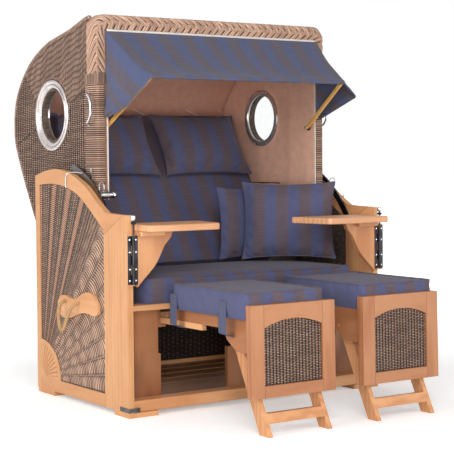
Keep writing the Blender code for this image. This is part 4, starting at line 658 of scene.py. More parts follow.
def hood_side_weave(tag, side):
    """Upright ladders of fine strands below the slanted line, slanted bands of upright strands above it, both
    sinking at rims and porthole; every ladder or band bulges as a power of a cosine between its stakes."""
    y = np.arange(hood_front - 0.002, hood_front + hood_depth + 0.004, 0.0052)
    z = np.arange(0.410, 1.610, 0.0036)
    wide, high = np.meshgrid(y, z, indexing="ij")
    hole = from_porthole(wide, high)
    slant = high - (1.290 - 0.327 * (wide - (0.077 + forward)))
    upper = (slant > 0) & (wide < porthole[0] + 0.10 + (high - porthole[1]) * 0.9)
    band = (slant + 0.004 * np.sin(wide * 34) + 0.003 * np.sin(wide * 71 + high * 12)) / 0.0245
    upright = (wide + 0.30 * high + 0.004 * np.sin(high * 40)) / 0.0088
    stroke = (high + 0.05 * (wide - hood_front)) / 0.0080
    across, along = np.where(upper, band, wide / 0.0190), np.where(upper, upright, stroke)
    bulge, power = np.where(upper, 0.0030, 0.0042), np.where(upper, 0.45, 0.7)
    tint = np.where(upper, 0.22 + 0.20 * per_strand(np.floor(band + 0.5), 4.0), 0.34)
    # depth_shade sinks the strands and paints shade at the rims, round the porthole and along the slanted line
    depth_shade = slope_in(rim_distance(side_outline, wide, high), 0, 0.012) * slope_in(hole, 0.150, 0.006)
    depth_shade = np.where(np.abs(slant) < 0.005, depth_shade * 0.25, depth_shade)
    height = (0.0008 + bulge * np.abs(np.cos(np.pi * across)) ** power) * depth_shade
    height = height + 0.0030 * bell(hole, 0.163, 0.006) - 0.0030 * (1 - depth_shade)
    middles = cell_middles(wide, high)
    keep = inside(side_outline, *middles) & (from_porthole(*middles) > 0.147)

    def place(y, z, level):
        return np.stack([side * (hood_half + 0.0006 + level), y, z], axis=-1)

    points, faces, fit, _ = slab(y, z, place, height, -0.0060, keep)
    wicker(f"hood_side_weave_{tag}", "hood", points, faces, across, along, fit, depth_shade=0.35 + 0.65 * depth_shade,
           tint=np.clip(tint + 0.12 * np.sin(wide * 23 + high * 9), 0, 1), plain=np.where(upper, 0.5, 0.0))


def wound_tube(name, path, radius, pitch, sides, tone=0.5):
    """A core wound closely with one strand: the radius swells as the root of a circle over every pitch."""
    path = np.asarray(path, float)
    path = even(path, max(int(run_along(path)[-1] / (pitch / 3.2)), 12))

    def turns(along, angle):
        return along / pitch + 0.35 * angle / (2 * np.pi)

    points, faces = tube(path, radius, sides, lambda along, angle: 0.86 + 0.14 * round_top(turns(along, angle)))
    angle = np.linspace(0, 2 * np.pi, sides, endpoint=False)
    wicker(name, "hood", points, faces, 0.0, turns(run_along(path)[:, None], angle[None, :]), tint=tone, plain=1.0)


for tag, side in both_sides:
    hood_side_weave(tag, side)
    dress(backing_painted_shade, f"hood_side_{tag}")
    edge = [(side * (hood_half - 0.004), y, z) for y, z in even(roof, 90)]
    wound_tube(f"hood_edge_roll_{tag}", edge, 0.0095, 0.011, 12)
    ring_angle = np.linspace(0, 2 * np.pi, 120)
    ring = np.stack([np.full(120, side * (hood_half + 0.0015)), porthole[0] + 0.1625 * np.cos(ring_angle),
                     porthole[1] + 0.1625 * np.sin(ring_angle)], axis=1)
    # The porthole roll has a darker tone: painted shade in the gap round the ring
    wound_tube(f"porthole_roll_{tag}", ring, 0.0050, 0.010, 8, tone=0.35)


def roof_weave():
    """Basket weave on the roof line: u runs along the profile, v across the chair, height along its normal."""
    line = even(roof, 560)
    normal = outward_normals(line, 1)
    run, half, stake, row = run_along(line), 0.566, 0.0260, 0.0105
    across = np.linspace(-half, half, 88)
    u, v = np.meshgrid(run, across, indexing="ij")
    fade = slope_in(half - np.abs(v), 0, 0.012) * slope_in(u, 0, 0.01) * slope_in(run[-1] - u, 0, 0.01)
    height = basket(v, u, stake, row, 0.0045) * fade - 0.002 * (1 - fade)

    def place(_, x, level):
        return np.stack([x, line[:, None, 0] + normal[:, None, 0] * level,
                         line[:, None, 1] + normal[:, None, 1] * level], axis=-1)

    points, faces, fit, _ = slab(run, across, place, height, -0.006, np.ones((len(run) - 1, len(across) - 1), bool))
    # Towards the roof's edges the strands sink and get painted shade
    wicker("hood_roof_weave", "hood", points, faces, v / stake, u / row, fit, depth_shade=fade, tint=0.55)


roof_weave()
dress(backing_painted_shade, "hood_band")


# Front border: a plaited bar over the top and round both corners, and a closely wound post on each side
def section_ring(count):
    """Points of a rounded oblong from -1 to 1: a super-ellipse of power 5."""
    angle = np.linspace(0, 2 * np.pi, count, endpoint=False)
    cos, sin = np.cos(angle), np.sin(angle)
    scale = (np.abs(cos) ** 5 + np.abs(sin) ** 5) ** (-1 / 5)
    return cos * scale, sin * scale


def matched(line, counts):
    """Points by share of three stretches: post, top, post, so that two such lines keep level."""
    dense = even(line, 1200)
    first = int(np.argmin(np.hypot(dense[:, 0] + np.abs(dense[:, 0]).max(), dense[:, 1] - dense[:, 1].max())))
    last = len(dense) - 1 - first
    where = np.concatenate([np.linspace(0, first, counts[0], endpoint=False),
                            np.linspace(first, last, counts[1], endpoint=False),
                            np.linspace(last, len(dense) - 1, counts[2])])
    return np.stack([np.interp(where, np.arange(len(dense)), dense[:, k]) for k in (0, 1)], axis=1)


def plaited_border():
    """The bar's section runs from the opening's rounded corner line to the outer one. Bundles of three strands
    cross the middle line of the plait at about 45 degrees, one family from each side, half a pitch apart; each
    dives under the other a little past that line, which lies near the outer front edge of the posts and in the
    middle of the front face over the top."""
    lift, corner, round_in = post_top - 0.004, 0.052, 0.012
    inner_left = [(-opening_half, lift), (-opening_half, 1.45), (-opening_half, opening_top - round_in),
                  (-opening_half + round_in, opening_top), (-0.30, opening_top)]
    inner_path = through(inner_left + [(0.0, opening_top)] + [(-x, z) for x, z in inner_left[::-1]], 8)
    outer_left = [(-border_half, lift), (-border_half, 1.45)] + [
        (-border_half + corner + corner * math.cos(a), hood_top - corner + corner * math.sin(a))
        for a in np.radians(np.linspace(180, 90, 9))]
    outer_path = outer_left + [(-x, z) for x, z in outer_left[::-1]]
    inner, outer = (matched(line, (110, 620, 110)) for line in (inner_path, outer_path))
    middle, half_bar = (inner + outer) / 2, (outer - inner) / 2
    run = run_along(middle)
    cos, sin = section_ring(68)
    half_y = braid_depth / 2
    ring = np.stack([cos * 0.031, sin * half_y], 1)
    step = np.linalg.norm(np.roll(ring, -1, axis=0) - ring, axis=1)
    place = np.concatenate([[0.0], np.cumsum(step)[:-1]])
    whole = float(step.sum())
    outward = place[int(np.argmin(sin * 10 + np.abs(cos)))] - place
    side_share = slope_in(np.abs(middle[:, 0]), 0.50, 0.05) * slope_in(1.56 - middle[:, 1], 0, 0.03)
    apex = 0.005 + 0.017 * side_share
    off = (outward[None, :] + apex[:, None] + whole / 2) % whole - whole / 2
    pitch, lean_in, reach, ease = 0.034, 0.95, 0.0105, 0.005
    inner_lines = (run[:, None] + lean_in * off) / pitch
    outer_lines = (run[:, None] - lean_in * off) / pitch + 0.5
    inner_level, outer_level = (
        (1 - np.abs(2 * (n % 1.0) - 1) ** 3) * np.clip((reach + way * off) / ease, 0, 1)
        for n, way in ((inner_lines, 1.0), (outer_lines, -1.0)))
    lines = np.where(inner_level > outer_level, inner_lines, outer_lines + 40.0)
    level = np.maximum(inner_level, outer_level)
    rise = 0.0078 * level + 0.0014 * round_top(lines * 3) * level - 0.0058
    push = cos * (1 + rise / 0.026)
    rings = np.stack([middle[:, :1] + half_bar[:, :1] * push, hood_front + half_y + (half_y - 0.003 + rise) * sin,
                      middle[:, 1:] + half_bar[:, 1:] * push], -1)
    points, faces = capped(rings, rings[0].mean(axis=0), rings[-1].mean(axis=0))
    # Painted shade where a strand dives under the other
    piece = wicker("hood_braid", "hood", points, faces, 0.0, lines * 3, depth_shade=np.clip((level - 0.10) / 0.45, 0, 1.3),
                   tint=0.42 + 0.60 * per_strand(np.floor(lines * 3), 3.0), group=3.0, plain=1.0)
    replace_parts(piece, "hood_border")


def wound_post(tag, side):
    """Rings of strand down the post: each ring is a round-cornered oblong that swells over its pitch, under a
    smooth collar of upright strands."""
    pitch, sides = 0.0086, 40
    z = np.arange(post_low + 0.0005, post_top + 0.004, pitch / 4)[:, None]
    cos, sin = section_ring(sides)
    collar = slope_in(z, 1.318, 0.004)
    rise = (0.0020 * round_top(z / pitch) - 0.0024) * (1 - collar) + 0.0014 * collar
    half_x, half_y = (border_half - opening_half) / 2, post_depth / 2
    rings = np.stack([side * ((border_half + opening_half) / 2 + (half_x + rise) * cos),
                      hood_front + half_y + (half_y + rise) * sin, z + 0 * cos], -1)
    points, faces = capped(rings, rings[0].mean(axis=0), rings[-1].mean(axis=0))
    tint = 0.10 + 0.60 * per_strand(np.floor(z / pitch / 3), side + 2.0) * (1 - collar) + 0.12 * collar
    wicker(f"hood_post_{tag}", "hood", points, faces, 0.0,
           np.where(collar > 0.5, np.arange(sides) * 0.9, z / pitch), tint=tint + 0 * cos, plain=1.0)


plaited_border()
for tag, side in both_sides:
    wound_post(tag, side)


# Fan of strands in each side of the base
arch_shares = [(0.9525, 0.929), (0.86, 0.935), (0.766, 0.934), (0.64, 0.923), (0.5075, 0.890), (0.379, 0.829),
               (0.239, 0.750)]
arch = through([(base_front + 0.8 * a, 0.973 * b) for a, b in arch_shares], 6)
quarter = [(window_rear - 0.180 * math.cos(a), window_low + 0.163 * math.sin(a))
           for a in np.linspace(0, np.pi / 2, 13)]
window_outline = np.vstack([[(window_front, window_low)], quarter, [(window_rear, arch[0][1])], arch,
                            [(window_front, arch[-1][1])]])


def fan_weave(tag, side):
    """Strands fan out from the lower rear corner: u is the angle from the upright, v the distance from the
    corner. Fine rows over five stakes a ray stand at the rear, and bulging leaf-like rays at the front."""
    ray, stake = 7.5, 1.5
    angle = np.radians(np.arange(-0.3, 91.0, 0.36))
    reach = np.arange(0.150, 1.02, 0.0024)
    phi, r = np.meshgrid(angle, reach, indexing="ij")
    degrees = np.degrees(phi)
    part, share = phi / np.radians(ray) % 1.0, slope_in(degrees, 31, 9)
    lines = (r - (0.011 * (1 - (2 * part - 1) ** 2) + 0.010 * part) * share) / (0.0084 + 0.0056 * share)
    long_wave = 0.5 + 0.5 * np.cos(2 * np.pi * (r / 0.090 + 0.5 * np.floor(phi / np.radians(ray))))
    bulge = np.clip(np.sin(np.pi * part), 0, 1) ** 0.6
    column = np.abs(np.cos(np.pi * phi / np.radians(stake)))
    height = (0.0018 + 0.0016 * column) * (1 - share) + (0.0008 + bulge * (0.0034 + 0.0016 * long_wave)) * share
    height = height + 0.0006 * round_top(lines)
    # depth_shade: painted shade at the edges of the leaves and beside the ribs, and a painted highlight on the
    # leaves' crests; tint: paler ribs, and a painted highlight where the long wave raises the leaves
    depth_shade = 1.0 - 0.55 * share * (1 - bulge) + 0.75 * share * bulge * long_wave
    tint = 0.52 + 0.10 * share + 0.25 * long_wave * share
    red = np.zeros_like(phi)
    red_ribs = [(0.8, 0.7), (9.4, 1.25), (18.3, 1.30), (26.5, 1.05)]
    for centre, half in red_ribs + [(k * ray, 0.36) for k in range(5, 13)]:
        gap = np.abs(degrees - centre) / half
        rib = np.clip(1.5 - gap, 0, 1)
        if (centre, half) in red_ribs:
            red = np.maximum(red, 0.80 * rib)
        height = height * (1 - rib) + 0.0038 * rib
        depth_shade = np.maximum(depth_shade * (1 - 0.60 * bell(gap, 1.7, 0.5)), 1.25 * rib)
        tint = np.maximum(tint, 0.75 * rib)
    y, z = window_rear - r * np.sin(phi), window_low + r * np.cos(phi)
    fade = slope_in(rim_distance(window_outline, y, z), 0, 0.005)

    def place(phi, r, level):
        return np.stack([side * (base_half - 0.0065 + level), window_rear - r * np.sin(phi),
                         window_low + r * np.cos(phi)], axis=-1)

    keep = inside(window_outline, *cell_middles(y, z))
    points, faces, fit, _ = slab(angle, reach, place, height * fade, -0.003, keep)
    wicker(f"side_fan_{tag}", "base", points, faces, phi / np.radians(stake), lines, fit,
           # Painted shade also darkens the strands towards the window's rim
           depth_shade=np.clip(depth_shade * (0.35 + 0.65 * fade), 0, 1.8), tint=np.clip(tint, 0, 1), red=red,
           plain=np.maximum(share, np.clip(red * 2, 0, 1)))


for tag, side in both_sides:
    fan_weave(tag, side)
    dress(backing_painted_shade, f"side_wicker_{tag}")


def flat_weave(name, body, replaced, outline, place, span, stake, row, height, thickness, inner_face_shade=1.0):
    """A woven field in a flat outline, over a grid between the two corners of the span, with the same basket on
    both faces; place puts (u, v, level) in space."""
    (u0, v0), (u1, v1) = span
    u = np.linspace(u0, u1, max(int((u1 - u0) / stake * 4), 8) + 1)
    v = np.linspace(v0, v1, max(int((v1 - v0) / row * 4), 8) + 1)
    wide, high = np.meshgrid(u, v, indexing="ij")
    fade = slope_in(rim_distance(outline, wide, high), 0, 0.004)
    keep = inside(outline, *cell_middles(wide, high))
    under = -thickness - basket(wide + stake, high, stake, row, height) * fade
    points, faces, fit, top = slab(u, v, place, basket(wide, high, stake, row, height) * fade, under, keep)
    # Painted shade towards the rim, and inner_face_shade paints the inner face darker
    piece = wicker(name, body, points, faces, np.where(top, 0.0, 1.0) + wide.ravel()[fit] / stake, high / row, fit,
                   depth_shade=(0.4 + 0.6 * fade).ravel()[fit] * np.where(top, 1.0, inner_face_shade), tint=0.34)
    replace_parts(piece, replaced)


def rest_weave(tag, side):
    """Woven panel of a foot rest, in its arched window: the arch rises by four times t times one less t."""
    t = np.linspace(0, 1, 17)
    arc = np.stack([rest_out + (rest_in - rest_out) * t, rest_high + 0.030 * 4 * t * (1 - t)], axis=1)

    def place(x, z, level):
        return np.stack([side * x, rest_front + 0.010 + 0.007 * (z - 0.138) / 0.340 - level, z], axis=-1)

    flat_weave(f"rest_panel_weave_{tag}", f"footrest_{tag}", f"footrest_wicker_{tag}",
               np.vstack([[(rest_in, rest_low), (rest_out, rest_low)], arc]), place,
               ((rest_in - 0.002, rest_low - 0.002), (rest_out + 0.002, 0.425)), 0.0150, 0.0062, 0.0036, 0.009)


for tag, side in both_sides:
    rest_weave(tag, side)


# Rear of the base: four timber rails round a woven field
def board(name, low, high, mat, body, edge=0.0016):
    """A plank: a box whose edges are rounded off."""
    low, high = np.minimum(low, high), np.maximum(low, high)
    mesh = bpy.data.meshes.new(name)
    verts = [(x, y, z) for x in (low[0], high[0]) for y in (low[1], high[1]) for z in (low[2], high[2])]
    mesh.from_pydata(verts, [], [(0, 1, 3, 2), (4, 6, 7, 5), (0, 4, 5, 1), (2, 3, 7, 6), (0, 2, 6, 4), (1, 5, 7, 3)])
    mesh.materials.append(mat)
    obj = bpy.data.objects.new(name, mesh)
    bpy.context.scene.collection.objects.link(obj)
    step = obj.modifiers.new("edge", "BEVEL")
    step.width, step.segments = edge, 2
    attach(obj, body)


rear_in, stile_low, stile_high, field_half = panel_inner - 0.0003, 0.0803, 0.3897, panel_inner - 0.0500
for name, x0, x1, z0, z1, behind, mat in (
        ("rear_rail_low", -rear_in, rear_in, 0.030, 0.080, 0.0, timber_x),
        ("rear_rail_high", -rear_in, rear_in, 0.390, 0.440, 0.0, timber_x),
        ("rear_stile_l", -rear_in, -rear_in + 0.050, stile_low, stile_high, 0.0005, timber_z),
        ("rear_stile_r", rear_in - 0.050, rear_in, stile_low, stile_high, 0.0005, timber_z)):
    board(name, (x0, window_rear + behind, z0), (x1, base_rear - behind, z1), mat, "base")
# The rear field's inner face is painted darker, as the shade inside the base
flat_weave("rear_weave", "base", "rear_panel",
           [(-field_half, 0.0797), (field_half, 0.0797), (field_half, 0.3903), (-field_half, 0.3903)],
           lambda x, z, level: np.stack([x, base_rear - 0.008 + level, z], axis=-1),
           ((-field_half, 0.0797), (field_half, 0.3903)), 0.024, 0.0105, 0.0040, 0.018, inner_face_shade=0.45)


def carved_corner(tag, side):
    """Nine petals round the side frame's rear lower corner: each stands as the sine of its angle and fades at
    its inner and outer ends."""
    first, near, far = 6.0, 0.034, 0.148
    angle = np.radians(np.arange(first, 84.5, 0.75))
    reach = np.linspace(near, far, 40)
    phi, r = np.meshgrid(angle, reach, indexing="ij")
    petal = np.sin(np.pi * (np.degrees(phi) - first) / 8.7) ** 2
    ends = slope_in(r, near, 0.012) * slope_in(far - 0.010 * (1 - petal) - r, 0, 0.008)

    def place(phi, r, level):
        return np.stack([side * (base_half + level), window_rear - 0.004 - r * np.sin(phi) * 1.03,
                         window_low + r * np.cos(phi) * 0.97], axis=-1)

    points, faces, fit, top = slab(angle, reach, place, 0.0004 + 0.0026 * np.sqrt(petal) * ends, -0.001,
                                   np.ones((len(angle) - 1, len(reach) - 1), bool))
    # Painted shade in the grooves between the petals
    groove_shade = slope_in(0.35 - petal, 0, 0.35) * slope_in(r, 0.030, 0.01)
    make(f"carved_corner_{tag}", points, faces, timber_side, "base",
         marks={"carved_groove_shade": np.where(top, groove_shade.ravel()[fit], 0.0)})


for tag, side in both_sides:
    carved_corner(tag, side)


# Soft goods
def sheet_shell(grid, thickness):
    """Two skins half a thickness either side of a grid of points, with a wall round the rim."""
    rows, cols = grid.shape[:2]
    normal = np.cross(np.gradient(grid, axis=0), np.gradient(grid, axis=1))
    normal = normal / np.maximum(np.linalg.norm(normal, axis=-1, keepdims=True), 1e-9) * thickness / 2
    low, skin, rim = rows * cols, grid_faces(rows, cols), grid_rim(rows, cols)
    after = np.roll(rim, -1)
    return (np.vstack([(grid + normal).reshape(-1, 3), (grid - normal).reshape(-1, 3)]),
            np.vstack([skin, low + skin[:, ::-1], np.stack([rim, low + rim, low + after, after], 1)]))


def cloth_sheet(name, grid, uv, thickness, mat, body):
    points, faces = sheet_shell(grid, thickness)
    return make(name, points, faces, mat, body, uv=np.vstack([uv.reshape(-1, 2)] * 2))


def folds(u, v, seed, count=7):
    """Soft folds: a sum of slow sines at seeded angles, with sharper crests where they add up."""
    draw = np.random.default_rng(seed)
    total = np.zeros(np.broadcast(u, v).shape)
    for _ in range(count):
        turn, scale, phase = draw.uniform(0, np.pi), draw.uniform(8, 34), draw.uniform(0, 6.28)
        wave = np.sin((u * np.cos(turn) + v * np.sin(turn)) * scale + phase
                      + 0.8 * np.sin(v * scale * 0.4 + phase * 2))
        total += (1 - np.abs(wave)) * draw.uniform(0.3, 1.0)
    return total / count - 0.25


def read_points(mesh):
    points = np.empty(len(mesh.vertices) * 3)
    mesh.vertices.foreach_get("co", points)
    return points.reshape(-1, 3)


def blow_up(obj, pinned, pressure, cap, slack, frames=18, stiff=12.0):
    """Fill a sewn shell with air: a cloth run with its seams held, whose points move no further than cap."""
    scene, mesh = bpy.context.scene, obj.data
    base = read_points(mesh)
    group = obj.vertex_groups.new(name="seam")
    group.add(np.flatnonzero(pinned).tolist(), 1.0, "REPLACE")
    step = obj.modifiers.new("air", "CLOTH")
    settings = step.settings
    settings.quality, settings.mass = 5, 0.25
    settings.tension_stiffness = settings.compression_stiffness = stiff
    settings.shear_stiffness, settings.bending_stiffness = stiff / 3, 0.35
    settings.use_pressure, settings.uniform_pressure_force = True, pressure
    settings.shrink_min, settings.vertex_group_mass = -slack, "seam"
    settings.effector_weights.gravity = 0.0
    step.collision_settings.use_collision = step.collision_settings.use_self_collision = False
    step.point_cache.frame_start, step.point_cache.frame_end = 1, frames
    for at in range(1, frames + 1):
        scene.frame_set(at)
    moved = read_points(obj.evaluated_get(bpy.context.evaluated_depsgraph_get()).to_mesh())
    obj.modifiers.remove(step)
    obj.vertex_groups.remove(group)
    shift = moved - base
    size = np.linalg.norm(shift, axis=1, keepdims=True)
    mesh.vertices.foreach_set("co", (base + shift * cap * np.tanh(size / cap) / np.maximum(size, 1e-9)).ravel())
    mesh.update()
    scene.frame_set(1)


def band_rings(wide, long, a, b, half_h, rows, bulge, uv_shift):
    """A boxed cushion's band, from the rim's places: rows of places across, along and up, bulging between the
    two seams as one less the square of the height, and their cloth map."""
    push_w, push_l = (np.where(np.abs(at) > 0.9999, np.sign(at), 0.0) for at in (a, b))
    size = np.maximum(np.hypot(push_w, push_l), 1e-9)
    level = np.linspace(half_h, -half_h, rows + 2)[1:-1][:, None]
    ends = 1 - np.minimum(np.abs(a), np.abs(b)) ** 6
    band = bulge * (1 - (level / half_h) ** 2) * (0.35 + 0.65 * ends)
    uv = np.stack([wide + uv_shift + push_w * (half_h - level) * 0.1, long + (half_h - level)], -1)
    return (wide + band * (push_w / size), long + band * (push_l / size), level + 0 * band), uv.reshape(-1, 2)


def cushion(name, body, replaced, place, sizes, cells, crown, draw, power, cap, pressure, slack, uv_shift,
            seed, rows=0, under=0.0, corner=0.0, bulge=0.006, dent=None, ears=0.0, seam=0.0032, wrinkle=0.003,
            both=False):
    """A sewn cushion. The panels are grids in (a, b) from -1 to 1 whose sides draw in between the corners by
    draw times a squared times one less b squared; the height is the crown times the root of one less a to the
    power, times one less b to the power. A boxed cushion has a band of rows between its two seams."""
    centre, across, along, up = (np.asarray(v, float) for v in place)
    half_w, half_l, half_h = sizes
    n, m = cells[0] + 1, cells[1] + 1
    widest = np.pi / 2 * 0.92
    a, b = (np.sin(np.linspace(-1, 1, count) * widest) / math.sin(widest) for count in (n, m))
    a, b = np.meshgrid(a, b, indexing="ij")
    pull = 1 - corner * np.abs(a * b) ** 10 + ears * np.abs(a * b) ** 6
    wide = half_w * a * (1 - draw * a * a * (1 - b * b)) * pull
    long = half_l * b * (1 - draw * b * b * (1 - a * a)) * pull
    filled = np.sqrt(np.clip((1 - np.abs(a) ** power) * (1 - np.abs(b) ** power), 0, 1))
    top = half_h + filled * (crown + wrinkle * folds(wide, long, seed) - (dent(a, b) if dent else 0.0))
    low = -half_h - filled * (under + (wrinkle * folds(wide, long, seed + 5) if both else 0.0))

    def out(w, l, h):
        return (centre + across * w[..., None] + along * l[..., None] + up * h[..., None]).reshape(-1, 3)

    count, rim, skin = n * m, grid_rim(n, m), grid_faces(n, m)
    at_rim = np.isin(np.arange(count), rim)
    upper, lower = out(wide, long, top), out(wide, long, low)
    uv_top = np.stack([wide + uv_shift, long], -1).reshape(-1, 2)
    if rows:
        band, band_uv = band_rings(*(grid.ravel()[rim] for grid in (wide, long, a, b)), half_h, rows, bulge, uv_shift)
        points, uv = [upper, out(*band), lower], [uv_top, band_uv, uv_top + [0.0, 0.2]]
        below = count + rows * len(rim)
        rings = [rim, *(np.arange(count, below).reshape(rows, -1)), below + rim]
        faces = [skin] + [np.stack([one, np.roll(one, -1), np.roll(two, -1), two], 1)
                          for one, two in zip(rings, rings[1:])] + [(below + skin)[:, ::-1]]
        pinned, seams = [at_rim, np.zeros(below - count, bool), at_rim], (upper[rim], lower[rim])
    else:
        fresh = np.where(at_rim, np.arange(count), count - 1 + np.cumsum(~at_rim))
        points, uv, faces = [upper, lower[~at_rim]], [uv_top, uv_top[~at_rim]], [skin, fresh[skin][:, ::-1]]
        pinned, seams = [at_rim, np.zeros(int((~at_rim).sum()), bool)], (upper[rim],)
    piece = make(name, np.vstack(points), np.vstack(faces), cushion_cloth, body, uv=np.vstack(uv))
    blow_up(piece, np.concatenate(pinned), pressure, cap, slack)
    step = piece.modifiers.new("smooth", "SUBSURF")
    step.levels = step.render_levels = 1
    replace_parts(piece, replaced)
    for number, ring in enumerate(seams):
        ring = np.vstack([ring, ring[:2]])
        line = even(ring, max(int(run_along(ring)[-1] / 0.010), 20))
        points, faces = tube(line, seam, 8)
        make(f"{name}_welt_{number}", points, faces, cushion_cloth, body,
             uv=np.stack([(points - centre) @ across + uv_shift, (points - centre) @ along], 1))


x_way, y_way, z_way = np.eye(3)
cushion("seat_pad", "base", "seat_cushion", ((0.0, forward + seat_middle, seat_low + 0.050), x_way, y_way, z_way),
        (0.528, 0.2440, 0.0485), (84, 40), rows=7, crown=0.024, draw=0.012, power=6, corner=0.035,
        cap=0.009, pressure=3.0, slack=0.02, uv_shift=0.025, seed=3)

slope = np.array([0.0, math.sin(lean), math.cos(lean)])
toward = np.array([0.0, -math.cos(lean), math.sin(lean)])
plane = np.array([0.0, 0.403 + forward, 0.917])
cushion("back_pad", "hood", "back_cushion", (plane + slope * -0.028 - toward * 0.042, x_way, slope, toward),
        (0.516, 0.390, 0.026), (80, 56), rows=4, crown=0.014, draw=0.012, power=6, corner=0.035,
        bulge=0.004, cap=0.008, pressure=3.0, slack=0.02, uv_shift=0.025, wrinkle=0.004, seed=4)

for tag, side in both_sides:
    head = plane + slope * 0.1675 + toward * 0.036 + x_way * side * 0.253
    cushion(f"head_pillow_{tag}", "hood", f"headrest_{tag}", (head, x_way, slope, toward), (0.231, 0.160, 0.002),
            (44, 32), crown=0.052, under=0.026, draw=0.055, power=2.2, ears=0.03, cap=0.016, pressure=5.0,
            slack=0.05, uv_shift=0.05 + 0.01 * side, seam=0.0024, both=True, seed=11 + side)


def seat_top(x, y):
    """Height of the seat cushion's crowned top at a place."""
    a, b = min(abs(x / 0.530), 1.0), min(abs((y - seat_middle) / 0.246), 1.0)
    return seat_low + 0.100 + (0.565 - seat_low - 0.100) * math.sqrt((1 - a ** 6) * (1 - b ** 6))


for name, node, x, y, half_w, half_h, thick, turn, tilt, seed in (
        ("scatter_pillow", "scatter_cushion", 0.356, -0.103, 0.205, 0.170, 0.118, -38.0, 6.0, 21),
        ("spare_pillow", "spare_cushion", 0.310, 0.095, 0.190, 0.160, 0.076, -4.0, 4.0, 22)):
    turn, tilt = math.radians(turn), math.radians(tilt)
    across = np.array([math.cos(turn), math.sin(turn), 0.0])
    face = np.array([math.sin(turn), -math.cos(turn), 0.0])
    along = z_way * math.cos(tilt) - face * math.sin(tilt)
    out = np.cross(across, along)
    corner_x = x - half_w * math.cos(turn)
    corner_y = y - half_w * math.sin(turn) + half_h * math.sin(tilt) * face[1]
    lift = half_h * math.cos(tilt) + 0.004 * abs(out[2])
    cushion(name, "base", node, ((x, y + forward, seat_top(corner_x, corner_y) + lift), across, along, out),
            (half_w - 0.003, half_h - 0.003, 0.0015), (44, 36), crown=thick / 2 - 0.010,
            under=thick / 2 - 0.010, draw=0.06, power=2.0, ears=0.035, cap=0.015, pressure=5.0, slack=0.05,
            uv_shift=0.077, seam=0.0026, both=True, seed=seed)


def rest_dent(a, b):
    """The sewn crease a little behind the front edge, deepest at its two ends."""
    crease = np.exp(-((b + 0.62 + 0.05 * np.cos(a * 9)) * 16) ** 2)
    return 0.0055 * crease * (0.25 + 0.75 * np.abs(a) ** 3)


def rest_strap(name, side, body, low_y):
    """A strap that hangs straight from the pad's side and turns in under the frame, bent by a slow sine."""
    z, y = np.linspace(0.350, 0.485, 28), np.linspace(low_y, low_y + 0.048, 9) + forward
    x = 0.4315 + 0.0010 * np.sin((z - 0.35) * 40) + 0.0375 * slope_in(z, 0.352, 0.012)
    grid = np.stack(np.broadcast_arrays(side * x[:, None], y[None, :], z[:, None]), -1)
    cloth_sheet(name, grid, np.stack(np.meshgrid(z, y, indexing="ij"), -1), 0.0022, strap_cloth, body)


for tag, side in both_sides:
    middle = (side * (0.088 + 0.460) / 2, (-0.925 - 0.418) / 2 + forward, 0.4255 + 0.0475)
    cushion(f"rest_pad_{tag}", f"footrest_{tag}", f"footrest_cushion_{tag}", (middle, x_way, y_way, z_way),
            ((0.460 - 0.088) / 2 - 0.002, (0.925 - 0.418) / 2 - 0.002, 0.0465), (36, 46), rows=7,
            crown=0.011, draw=0.018, power=5, corner=0.03, dent=rest_dent, cap=0.008, pressure=3.0, slack=0.03,
            uv_shift=0.084, seed=31 + side)
    for number, low_y in enumerate((-0.477, -0.820)):
        rest_strap(f"rest_strap_{tag}_{number}", side, f"footrest_{tag}", low_y)


# Awning: one sheet from the border down over the bar, with a flap on each side, and wooden struts
def free_edge(post_tip, bar_tip, share, left):
    """Places on a flap's free edge by share of its length, from the post over a loose corner to the bar's end:
    the left one droops and the right one is drawn up, both as a sine of the share."""
    tip, sink = np.array([0.566, -0.322 + forward, 1.276]), np.array([0, 0, 0.004])
    line = np.vstack([through([post_tip, 0.66 * post_tip + 0.34 * tip - sink, 0.33 * post_tip + 0.67 * tip - sink,
                               tip], 10),
                      through([tip * 0.97 + bar_tip * 0.03, 0.5 * tip + 0.5 * bar_tip + [0.002, 0, 0], bar_tip], 10)])
    line = even(line, 200)
    edge = np.stack([np.interp(share * 199, np.arange(200), line[:, k]) for k in range(3)], -1)
    edge[:, 2] += np.where(left, -0.042 * share, 0.008) * np.sin(np.pi * share)
    return edge


